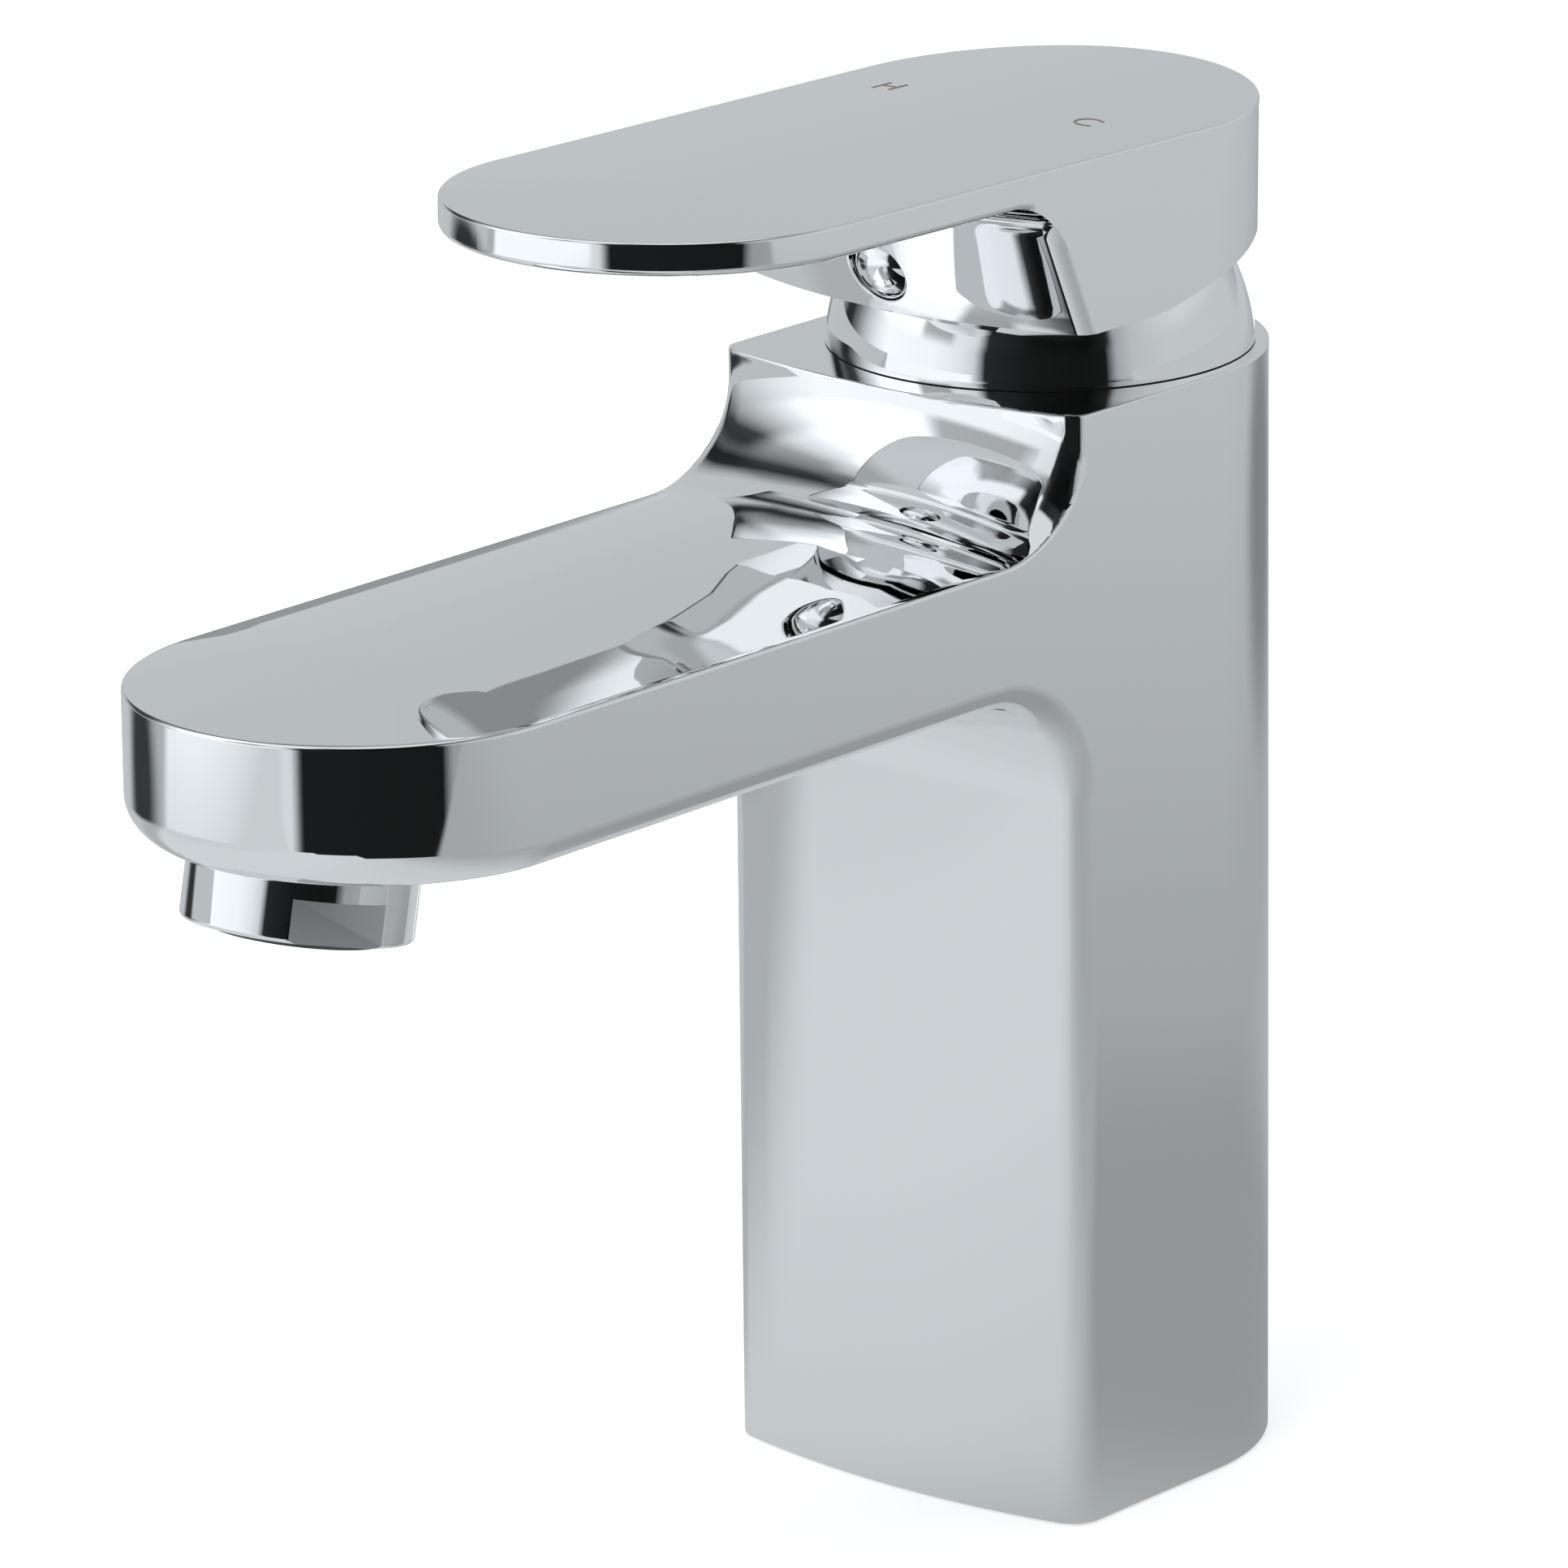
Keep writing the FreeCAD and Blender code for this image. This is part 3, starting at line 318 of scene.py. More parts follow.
def rod(name, radius, start, end, sides=64):
    """A round cutter between two points."""
    deselect()
    way = end - start
    bpy.ops.mesh.primitive_cylinder_add(vertices=sides, radius=radius, depth=way.length, location=(0, 0, 0))
    piece = named(name)
    place = Matrix.Translation((start + end) / 2) @ way.to_track_quat("Z", "Y").to_matrix().to_4x4()
    piece.data.transform(place)
    return piece


def cut(piece, tool, solver="EXACT"):
    """Take another closed mesh away from a piece and use it up."""
    boolean = piece.modifiers.new("cut", "BOOLEAN")
    boolean.operation = "DIFFERENCE"
    boolean.solver = solver
    boolean.object = tool
    only(piece)
    bpy.ops.object.modifier_apply(modifier=boolean.name)
    bpy.data.objects.remove(tool)


def tidy(piece, flat=0.02):
    """Merge what a cut left doubled, and faces that differ by less than an angle in degrees."""
    edit_all(piece)
    bpy.ops.mesh.remove_doubles(threshold=MERGE)
    bpy.ops.mesh.dissolve_limited(angle_limit=math.radians(flat), use_dissolve_boundaries=False)
    leave_edit()


def is_sharp(edge):
    """True for an outward edge between two faces that turns enough to be rounded."""
    return len(edge.link_faces) == 2 and edge.calc_face_angle_signed() > SHARP


def round_edges(piece, width, segments, chosen):
    """Bevel the sharp edges that the test picks by their two ends."""
    edit_all(piece)
    bpy.ops.mesh.select_mode(type="EDGE")
    bpy.ops.mesh.select_all(action="DESELECT")
    mesh = bmesh.from_edit_mesh(piece.data)
    picked = [edge for edge in mesh.edges if is_sharp(edge) and chosen(edge.verts[0].co, edge.verts[1].co)]
    if not picked:
        raise RuntimeError("no edge of %s to round" % piece.name)
    for edge in picked:
        edge.select_set(True)
    bmesh.update_edit_mesh(piece.data)
    bpy.ops.mesh.bevel(offset=width, offset_type="OFFSET", segments=segments, affect="EDGES",
                       clamp_overlap=False)
    bpy.ops.mesh.select_all(action="SELECT")
    bpy.ops.mesh.remove_doubles(threshold=MERGE)
    leave_edit()


def round_edges_by_share(piece, width, segments, part_of_width):
    """Bevel the sharp edges by the part of the width that a rule gives each of them."""
    mesh = bmesh.new()
    mesh.from_mesh(piece.data)
    weights = mesh.edges.layers.float.new("bevel_weight_edge")
    for edge in filter(is_sharp, mesh.edges):
        edge[weights] = part_of_width(edge.verts[0].co, edge.verts[1].co)
    mesh.to_mesh(piece.data)
    mesh.free()
    bevel = piece.modifiers.new("rounding", "BEVEL")
    bevel.limit_method = "WEIGHT"
    bevel.width = width
    bevel.segments = segments
    bevel.use_clamp_overlap = False
    only(piece)
    bpy.ops.object.modifier_apply(modifier=bevel.name)
    piece.data.attributes.remove(piece.data.attributes["bevel_weight_edge"])
    edit_all(piece)
    bpy.ops.mesh.remove_doubles(threshold=MERGE)
    leave_edit()


def smooth(piece, sharp=30):
    """Shade smoothly up to an angle, with the large faces leading the normals."""
    only(piece)
    bpy.ops.object.shade_smooth_by_angle(angle=math.radians(sharp))
    weighted = piece.modifiers.new("even_normals", "WEIGHTED_NORMAL")
    weighted.mode = "FACE_AREA"
    weighted.weight = 100
    weighted.keep_sharp = True
    bpy.ops.object.modifier_apply(modifier=weighted.name)
    deselect()


def turn_about_x(piece, turn, centre):
    """Turn a piece's mesh about a line through a point, along X."""
    to_centre = Matrix.Translation(centre)
    piece.data.transform(to_centre @ Matrix.Rotation(turn, 4, "X") @ to_centre.inverted())


# ---------------------------------------------------------------- plans and paths
def arc_radius(half, rise):
    """Radius of the arc that rises by this much over a width of two halves."""
    return (half * half + rise * rise) / (2 * rise)


def spread(count):
    """Even steps from 0 to 1."""
    return [step / (count - 1) for step in range(count)]


def round_ended(half, front, low):
    """Round-ended plan from the cartridge axis to y = front; both ends share their x places."""
    turns = [math.pi * (t - 0.5) for t in spread(NOSE_STEPS)]
    front_end = [Vector((half * math.sin(turn), front - half * math.cos(turn), low)) for turn in turns]
    rear_end = [Vector((half * math.sin(turn), half * math.cos(turn), low)) for turn in reversed(turns)]
    for end in (front_end, rear_end):
        for point in (end[0], end[-1]):
            point.x = math.copysign(half, point.x)
    return front_end + rear_end


def ball_arc(centre, start, end, steps):
    """Points on the short way round a ball from one of its contacts to the other."""
    a = start - centre
    b = end - centre
    turn = a.angle(b)
    points = []
    for t in spread(steps):
        points.append(centre + (a * math.sin((1 - t) * turn) + b * math.sin(t * turn)) / math.sin(turn))
    return points


def wall_plan(half, depth, bow, corner, turn, at):
    """Foot and outward normal of a bowed wall with rounded corners, at a place along its plan.

    The place is an angle of the bow's own circle, and past the corner's start an angle of the corner.
    """
    radius = arc_radius(half, bow)
    swing = math.asin((half - corner) / (radius - corner))
    side = math.copysign(1, at)
    size = min(abs(at), turn)
    way = Vector((side * math.sin(size), -math.cos(size), 0))
    if abs(at) <= swing:
        return Vector((0, radius - depth, 0)) + way * radius, way
    hub = Vector((side * (half - corner), radius - depth - (radius - corner) * math.cos(swing), 0))
    foot = hub + way * corner
    beyond = abs(at) - size
    return foot + Vector((side * math.cos(turn), math.sin(turn), 0)) * beyond * half, way


def inward_of(half, rounding, count=9):
    """Distances from the middle line, all well inside a rim that is rounded later."""
    last = half - INSIDE_RIM * rounding
    return [last * t for t in spread(count)]


def round_the_nose(side, radius, nose, level):
    """A track up one side, round the nose at a radius, and back down the other side."""
    bend = []
    for t in spread(NOSE_STEPS):
        turn = math.pi * (t - 0.5)
        bend.append(level(radius * math.sin(turn), nose - radius * math.cos(turn)))
    left = [Vector((-point.x, point.y, point.z)) for point in side]
    return left + bend + side[::-1]


# ---------------------------------------------------------------- faucet body
def spout_places(sizes):
    """Spout's tip, the level of its upper edge and the level of its underside."""
    rim = body_high.z - sizes.step_height
    return -body_low.y, rim, rim - sizes.spout_depth


def column_plan(sizes, half, inset, low, steps=33):
    """The column's own plan, drawn inwards: bowed front and round rear."""
    bow_radius = arc_radius(half, sizes.front_bow)
    radius = bow_radius - inset
    inner = half - inset
    reach = math.asin(inner / radius)
    hub_y = bow_radius - sizes.front_depth
    front = []
    for t in spread(steps):
        turn = reach * (2 * t - 1)
        front.append(Vector((radius * math.sin(turn), hub_y - radius * math.cos(turn), low)))
    rear = []
    for t in spread(2 * steps):
        rear.append(Vector((inner * math.cos(math.pi * t), inner * math.sin(math.pi * t), low)))
    return front + rear


def room_above_spout(sizes, half, tip, rim):
    """Cutter for the room above the spout: crowned and domed floor, bowed wall, hollow blend between."""
    crown = arc_radius(half, sizes.spout_crown)
    sink = rim + sizes.spout_crown - crown
    nose = -(tip - half)
    blend = sizes.step_blend

    def floor(x, y):
        ahead = min(0, y - nose)
        return Vector((x, y, sink + math.sqrt(crown * crown - x * x - ahead * ahead)))

    def section(at):
        """Where the blend leaves the floor, its centre, and where it meets the wall."""
        foot, out = wall_plan(half, sizes.front_depth, sizes.front_bow, sizes.front_corner,
                              sizes.corner_turn, at)
        centre = foot + out * blend
        centre.z = sink + math.sqrt((crown + blend) ** 2 - centre.x ** 2)
        down = Vector((centre.x, 0, centre.z - sink)).normalized()
        return centre - down * blend, centre, centre - out * blend

    def place_over(x):
        """Place along the wall whose blend meets the floor at this x."""
        low, high = 0.0, sizes.corner_turn
        for _ in range(HALVINGS):
            middle = (low + high) / 2
            low, high = (middle, high) if section(middle)[0].x < abs(x) else (low, middle)
        return math.copysign(low, x)

    edge = place_over(half)
    corners = [edge + (sizes.corner_turn - edge) * t for t in spread(10)[1:]]
    corners.append(sizes.corner_turn + PAST_CORNER)
    tracks = []
    for at in [place_over(x) for x in inward_of(half, sizes.edge_break)] + corners:
        contact, centre, wall = section(at)
        arc = ball_arc(centre, contact, wall, BLEND_STEPS)
        rows = [floor(contact.x, contact.y + (nose - contact.y) * t) for t in spread(13)[1:-1]]
        side = [Vector((wall.x, wall.y, body_high.z + OVERRUN))] + arc[::-1] + rows
        tracks.append(round_the_nose(side, contact.x, nose, floor))
    return hung("room_above_spout", tracks, (0, -FAR, FAR))


def room_below_spout(sizes, half, tip, under):
    """Cutter for the room in front of the column: flat roof, the same bowed wall, hollow blend between."""
    radius = arc_radius(half, sizes.front_bow)
    widening = 1 + sizes.throat_blend / radius      # the blend's roof contacts fan out from its feet by this
    inner = (half - 1.2 * sizes.lower_round) / widening
    beside = (half + MARGIN, 1.35 * half)
    places = [inner * (2 * t - 1) for t in spread(25)]
    columns = []
    for x in [-x for x in reversed(beside)] + places + list(beside):
        turn = math.asin(x / radius)
        out = Vector((math.sin(turn), -math.cos(turn), 0))
        foot = Vector((0, radius - sizes.front_depth, under - sizes.throat_blend)) + out * radius
        centre = foot + out * sizes.throat_blend
        contact = centre + UP * sizes.throat_blend
        far = Vector((contact.x, -tip - half, under))
        arc = ball_arc(centre, contact, foot, BLEND_STEPS)
        columns.append([far] + arc + [Vector((foot.x, foot.y, -OVERRUN))])
    return hung("room_below_spout", columns, (0, -FAR, -FAR))


def onto_aerator(piece, sizes, tip, under):
    """Lean an upright piece built round the origin onto the aerator's axis."""
    foot = Vector((0, -(tip - sizes.nose_wall - sizes.radius), under))
    piece.data.transform(Matrix.Translation(foot) @ Matrix.Rotation(-sizes.tilt, 4, "X"))


def cut_aerator_seat(body, ring, tip, under):
    """Round seats for the aerator's ring and its threaded neck, square to the leaning jet."""
    lift = ring.radius * math.tan(ring.tilt) + ring.fit
    for name, radius, low, high in (
        ("ring_seat", ring.radius + ring.fit, -ring.radius, lift),
        ("neck_seat", ring.thread + ring.fit, 0, lift + ring.neck + ring.washer),
    ):
        seat = rod(name, radius, Vector((0, 0, low)), Vector((0, 0, high)), ROUND_SIDES)
        onto_aerator(seat, ring, tip, under)
        cut(body, seat, solver="MANIFOLD")


def cut_foot_and_bore(body, sizes, half):
    """The seal's groove in the foot, the open hollow above it and the cartridge's bore."""
    outer = column_plan(sizes, half, sizes.seal_margin, -OVERRUN)
    inner = column_plan(sizes, half, sizes.seal_margin + sizes.seal_width, -2 * OVERRUN)
    groove = drawn("groove", outer, (0, 0, sizes.seal_depth + OVERRUN))
    cut(groove, drawn("core", inner, (0, 0, sizes.seal_depth + 4 * OVERRUN)))
    cut(body, groove)
    hollow = column_plan(sizes, half, sizes.base_wall, -OVERRUN)
    cut(body, drawn("hollow", hollow, (0, 0, sizes.hollow_height + OVERRUN)))
    top = body_high.z
    bore_low = Vector((0, 0, top - sizes.bore_depth))
    cut(body, rod("bore", sizes.bore_radius, bore_low, Vector((0, 0, top + OVERRUN)), ROUND_SIDES))


def make_body(sizes, ring):
    """Column and spout: one outline cut to shape from below and above, with its edges rounded in between."""
    half = body_high.x
    top = body_high.z
    tip, rim, under = spout_places(sizes)
    nose = -(tip - half)
    wall_y = -(sizes.front_depth - sizes.front_bow)
    plan = round_ended(half, nose, 0)
    for point in plan:
        point.y = min(point.y, point.y * body_high.y / half)
    body = drawn("body_shell", plan, (0, 0, top))
    cut(body, room_below_spout(sizes, half, tip, under))
    tidy(body)

    def on_outline(point):
        if point.y < nose:
            return abs(math.hypot(point.x, point.y - nose) - half) < 5 * NEAR
        return abs(abs(point.x) - half) < NEAR

    def lower_edge(a, b):
        below = NEAR < max(a.z, b.z) < under + NEAR
        ahead = max(a.y, b.y) < wall_y + 10 * NEAR
        return below and ahead and on_outline(a) and on_outline(b)

    def lower_share(a, b):
        """The rounding grows smoothly round the nose, from the sides to the tip."""
        if not lower_edge(a, b):
            return 0
        ahead = max(0, (nose - (a.y + b.y) / 2) / half)
        growth = ahead ** 2 * (3 - 2 * ahead)
        return (sizes.lower_round + (sizes.nose_round - sizes.lower_round) * growth) / sizes.nose_round

    round_edges_by_share(body, sizes.nose_round, 12, lower_share)
    cut_aerator_seat(body, ring, tip, under)
    tidy(body)
    cut(body, room_above_spout(sizes, half, tip, rim))
    tidy(body)

    def upper_rim(a, b):
        outside = all(p.y < nose or abs(abs(p.x) - half) < NEAR for p in (a, b))
        return outside and min(a.z, b.z) > rim - NEAR and max(a.z, b.z) < top - NEAR

    def column_rim(a, b):
        return all(abs(p.z - top) < NEAR for p in (a, b)) or all(abs(p.z) < NEAR for p in (a, b))

    round_edges(body, sizes.edge_break, 3, upper_rim)
    round_edges(body, sizes.foot_break, 2, column_rim)
    cut_foot_and_bore(body, sizes, half)
    tidy(body)
    smooth(body)
    return body


def is_bare(sizes, place):
    """True inside the open hollow and the cartridge's bore, where the casting isn't plated."""
    half = body_high.x
    bow_radius = arc_radius(half, sizes.front_bow)
    from_axis = math.hypot(place.x, place.y)
    from_bow = math.hypot(place.x, place.y - bow_radius + sizes.front_depth)
    inner = half - sizes.base_wall + NEAR
    within = from_bow < bow_radius - sizes.base_wall + NEAR if place.y < 0 else from_axis < inner
    hollow = place.z < sizes.hollow_height + NEAR and abs(place.x) < inner and within
    bore = place.z < body_high.z - sizes.plated_rim and from_axis < sizes.bore_radius + NEAR
    return hollow or bore


# ---------------------------------------------------------------- dome
def dome_size():
    """Radius of the dome's sphere, whose centre is on the tilt axis."""
    return math.hypot(dome_high.x, dome_low.z - pivot_height)


def sphere_profile(radius, low, high, steps=25):
    """Radius and height of points up a sphere about the tilt axis."""
    start = math.asin((low - pivot_height) / radius)
    end = math.asin((high - pivot_height) / radius)
    turns = [start + (end - start) * t for t in spread(steps)]
    return [(radius * math.cos(t), pivot_height + radius * math.sin(t)) for t in turns]


def make_dome(sizes):
    """Domed cover with a thin lip that comes down round the seal."""
    outer = sphere_profile(dome_size(), dome_low.z, dome_high.z)
    inner = sphere_profile(dome_size() - sizes.wall, dome_low.z, dome_high.z)
    edge = outer[0][0]
    lip_end = dome_low.z - sizes.lip_drop
    lip = [(edge - sizes.lip, dome_low.z), (edge - sizes.lip, lip_end), (edge, lip_end)]
    dome = turned("dome_shell", lip + outer + inner[::-1], TURNED_STEPS)
    smooth(dome)
    return dome


# ---------------------------------------------------------------- handle
SHALLOW = 0.004             # faces of the handle's crown that differ by more degrees than this stay apart


def crowned_top(sizes, half, tip, level):
    """Cutter for all that lies above the handle's crowned and domed top."""
    crown = arc_radius(half, sizes.crown)
    sink = level + sizes.crown - crown
    front = -(tip - half)

    def level_at(x, y):
        return Vector((x, y, sink + math.sqrt(crown ** 2 - x * x - min(0, y - front) ** 2)))

    tracks = []
    for radius in inward_of(half, sizes.edge_break) + [half + OVERRUN]:
        side = [level_at(radius, front * t) for t in spread(9)[1:-1]]
        track = round_the_nose(side, radius, front, level_at)
        for t in spread(NOSE_STEPS):
            turn = math.pi * (0.5 - t)
            track.append(level_at(radius * math.sin(turn), radius * math.cos(turn)))
        tracks.append(track + track[:1])
    return hung("crowned_top", tracks, (0, 0, 2 * half))


def room_below_blade(sizes, half, tip, level, skirt, hub_depth):
    """Cutter for the finger room: leaning bowed front of the hub, climbing roof, hollow blend between."""
    lean = math.tan(sizes.hub_lean)
    low = skirt - sizes.hub_blend
    depth = hub_depth - sizes.hub_blend * lean
    climb = Vector((0, -lean, 1))
    down = Vector((0, -math.sin(sizes.rise), -math.cos(sizes.rise)))
    ahead = Vector((0, -math.cos(sizes.rise), math.sin(sizes.rise)))
    roof = Vector((0, 0, level - sizes.blade))
    corner = [sizes.corner_turn * t for t in spread(45)[1:]] + [sizes.corner_turn + PAST_CORNER]
    columns = []
    for at in [-place for place in reversed(corner)] + [0.0] + corner:
        foot, out = wall_plan(half, depth, sizes.hub_bow, sizes.hub_corner, sizes.corner_turn, at)
        foot.z = low
        along = Vector((-out.y, out.x, 0))
        normal = along.cross(climb).normalized()
        rise = (sizes.hub_blend - (foot + normal * sizes.hub_blend - roof).dot(down)) / climb.dot(down)
        centre = foot + climb * rise + normal * sizes.hub_blend
        contact = centre - down * sizes.hub_blend
        far = contact + ahead * (tip + half + contact.y)
        arc = ball_arc(centre, contact, centre - normal * sizes.hub_blend, BLEND_STEPS)
        columns.append([far] + arc + [foot - climb * OVERRUN])
    return hung("room_below_blade", columns, (0, -FAR, -FAR))


def room_below_skirt(sizes, half, tip, skirt):
    """Cutter under the skirt, whose edge runs level and then bends up to the rear."""
    centre = Vector((0, -sizes.skirt_level, skirt + sizes.skirt_bend))
    bend = []
    for t in spread(9):
        turn = sizes.skirt_relief * t
        bend.append(centre + Vector((0, math.sin(turn), -math.cos(turn))) * sizes.skirt_bend)
    rear = bend[-1] + Vector((0, math.cos(sizes.skirt_relief), math.sin(sizes.skirt_relief))) * 2 * half
    below = skirt - half
    outline = [Vector((0, -tip - OVERRUN, skirt))] + bend + [rear]
    outline += [Vector((0, rear.y, below)), Vector((0, -tip - OVERRUN, below))]
    aside = Vector((2 * half, 0, 0))
    return drawn("room_below_skirt", [point - aside for point in outline], 2 * aside)


def handle_places(sizes):
    """Upper edge level, skirt level and hub depth of the handle."""
    level = pivot_height + dome_size() + sizes.cap
    return level, pivot_height + sizes.skirt_rise, dome_size() + sizes.hub_forward


def screw_axis(sizes):
    """Middle of the screw hole's mouth in the hub's front, and the way into the hub."""
    _, skirt, hub_depth = handle_places(sizes)
    mouth = Vector((0, -(hub_depth + sizes.screw_rise * math.tan(sizes.hub_lean)), skirt + sizes.screw_rise))
    return mouth, Vector((0, math.cos(sizes.screw_tilt), math.sin(sizes.screw_tilt)))


def cut_cup_and_socket(handle, sizes, half):
    """Cup that clears the dome, with the stem's boss left standing in it and a square socket in the boss."""
    axis = Vector((0, 0, pivot_height))
    deselect()
    bpy.ops.mesh.primitive_uv_sphere_add(segments=ROUND_SIDES, ring_count=64, location=(0, 0, 0),
                                         radius=dome_size() + sizes.cup_gap)
    cup = named("cup")
    cup.data.transform(Matrix.Translation(axis))
    cut(cup, rod("boss", sizes.boss_radius, axis + UP * sizes.boss_low, axis + UP * 2 * half))
    cut(handle, cup)
    s = sizes.socket
    square = [Vector((x, y, pivot_height)) for x, y in ((-s, -s), (s, -s), (s, s), (-s, s))]
    cut(handle, drawn("socket", square, (0, 0, sizes.socket_top)))


def cut_screw_hole(handle, sizes):
    """Wide mouth in the hub's front and a narrower hole through to the stem."""
    mouth, way = screw_axis(sizes)
    outside = mouth - way * 2 * sizes.screw_mouth
    cut(handle, rod("screw_mouth", sizes.screw_mouth, outside, mouth + way * sizes.screw_mouth_depth))
    cut(handle, rod("screw_hole", sizes.screw_hole, outside, mouth - way * mouth.y))


def make_handle(sizes):
    """Blade and hub: one outline crowned, turned to its climb, cut to shape from below and hollowed."""
    half = handle_high.x
    tip = -handle_low.y
    front = -(tip - half)
    level, skirt, hub_depth = handle_places(sizes)
    low = skirt - sizes.hub_blend
    under = level - sizes.blade
    mouth, way = screw_axis(sizes)

    def upper_edge(a, b):
        return min(a.z, b.z) > level - NEAR

    def blade_edge(a, b):
        above = min(a.z, b.z) > under - NEAR and max(a.z, b.z) < level - sizes.edge_break
        return above and max(a.y, b.y) < -hub_depth

    def on_mouth(point):
        along = (point - mouth).dot(way)
        off = (point - mouth - way * along).length
        return abs(off - sizes.screw_mouth) < NEAR and along < sizes.screw_mouth / 2

    def mouth_edge(a, b):
        return on_mouth(a) and on_mouth(b)

    handle = drawn("handle_shell", round_ended(half, front, low), (0, 0, level + half - low))
    cut(handle, crowned_top(sizes, half, tip, level))
    tidy(handle, SHALLOW)
    round_edges(handle, sizes.edge_break, 3, upper_edge)
    turn_about_x(handle, -sizes.rise, Vector((0, 0, level)))
    cut(handle, room_below_skirt(sizes, half, tip, skirt))
    cut(handle, room_below_blade(sizes, half, tip, level, skirt, hub_depth))
    tidy(handle, SHALLOW)
    round_edges(handle, sizes.blade_round, 5, blade_edge)
    cut_cup_and_socket(handle, sizes, half)
    cut_screw_hole(handle, sizes)
    tidy(handle, SHALLOW)
    round_edges(handle, sizes.edge_break / 2, 2, mouth_edge)
    smooth(handle)
    return handle


def make_plug(sizes):
    """Domed plug pressed into the screw hole's mouth."""
    radius = sizes.screw_mouth - sizes.plug_fit
    ball = (radius ** 2 + sizes.plug_bulge ** 2) / (2 * sizes.plug_bulge)
    deselect()
    bpy.ops.mesh.primitive_uv_sphere_add(segments=64, ring_count=48, radius=1, location=(0, 0, 0))
    plug = named("screw_plug")
    rim, back = 0.7, 0.8        # where the dome and the skirt end, as shares of the way down the sphere
    for vertex in plug.data.vertices:
        down = math.acos(max(-1, min(1, vertex.co.z))) / math.pi
        across = Vector((vertex.co.x, vertex.co.y, 0)).normalized() if 0.01 < down < 0.99 else Vector()
        reach = radius * min(1, down / rim, (1 - down) / (1 - back))
        if down > rim:
            height = -sizes.plug_bulge - sizes.plug_skirt * min(1, (down - rim) / (back - rim))
        else:
            height = math.sqrt(ball ** 2 - reach ** 2) - ball
        vertex.co = across * reach + UP * height
    mouth, way = screw_axis(sizes)
    facing = UP.rotation_difference(-way).to_matrix().to_4x4()
    plug.data.transform(Matrix.Translation(mouth + way * sizes.plug_sink) @ facing)
    smooth(plug)
    return plug


TEXT_SIZE = 1.4             # size of a text per height of its capitals
THINNING = 1 / 45           # strokes are drawn in by this share of a letter's height


def make_marks(sizes):
    """Thin hot and cold letters let into the handle's top."""
    half = handle_high.x
    level = handle_places(sizes)[0]
    crown = arc_radius(half, sizes.crown)
    marks = []
    for letter, name, side in (("H", "hot_mark", -1), ("C", "cold_mark", 1)):
        deselect()
        bpy.ops.object.text_add(location=(0, 0, 0))
        lettering = bpy.context.active_object.data
        lettering.body = letter
        lettering.size = TEXT_SIZE * sizes.mark_height
        lettering.extrude = sizes.mark_rise
        lettering.offset = -THINNING * sizes.mark_height
        bpy.ops.object.convert(target="MESH")
        mark = named(name)
        corners = [vertex.co for vertex in mark.data.vertices]
        middle = sum((Vector(co) for co in corners), Vector()) / len(corners)
        x = side * sizes.mark_spread
        place = Vector((x, -sizes.mark_forward, level + sizes.crown - crown + math.sqrt(crown ** 2 - x * x)))
        tilt = Matrix.Rotation(math.asin(x / crown), 4, "Y")
        mark.data.transform(Matrix.Translation(place) @ tilt @ Matrix.Translation(-middle))
        turn_about_x(mark, -sizes.rise, Vector((0, 0, level)))
        face_outwards(mark)
        marks.append(mark)
    return marks


# ---------------------------------------------------------------- aerator
def make_aerator(sizes):
    """Turned ring with its neck, a rounded lower rim and two wrench flats, still upright at the origin."""
    lift = sizes.radius * math.tan(sizes.tilt) + sizes.fit
    inside = sizes.thread - sizes.wall
    lip = inside - sizes.wall / 2
    soft = sizes.rim_round
    rim = []
    for t in spread(6):
        turn = math.pi / 2 * t
        rim.append((sizes.radius - soft + soft * math.sin(turn), -sizes.drop + soft - soft * math.cos(turn)))
    profile = [(lip, -sizes.drop + soft / 2), (lip + soft / 2, -sizes.drop)] + rim
    profile += [(sizes.radius, lift), (sizes.thread, lift)]
    profile += [(sizes.thread, lift + sizes.neck), (inside, lift + sizes.neck)]
    profile += [(inside, -sizes.ledge), (lip, -sizes.ledge)]
    ring = turned("aerator_ring", profile, TURNED_STEPS)
    for side in (0, math.pi):
        deselect()
        bpy.ops.mesh.primitive_cube_add(size=1, location=(0, 0, 0))
        flat = named("flat")
        reach = 2 * sizes.radius
        flat.data.transform(Matrix.Diagonal((reach, reach, sizes.flat_height + OVERRUN, 1)))
        out = sizes.radius - sizes.flat_cut + reach / 2
        middle = Vector((out, 0, -sizes.drop + (sizes.flat_height - OVERRUN) / 2))
        turn = Matrix.Rotation(sizes.flat_turn - math.pi / 2 + side, 4, "Z")
        flat.data.transform(turn @ Matrix.Translation(middle))
        cut(ring, flat)
    tidy(ring)
    return ring


# ---------------------------------------------------------------- shader helpers
DEGREES = 180 / math.pi     # in one radian
RELIEF = 0.0001             # height of the grain that a relief shows
REFLECTANCE = 0.87          # share of a level that the chrome gives back


def light_level(level):
    """Light that looks like a level of 0 to 255 in the chrome."""
    tone = level / 255
    tone = tone / 12.92 if tone < 0.04045 else ((tone + 0.055) / 1.055) ** 2.4
    return tone / REFLECTANCE


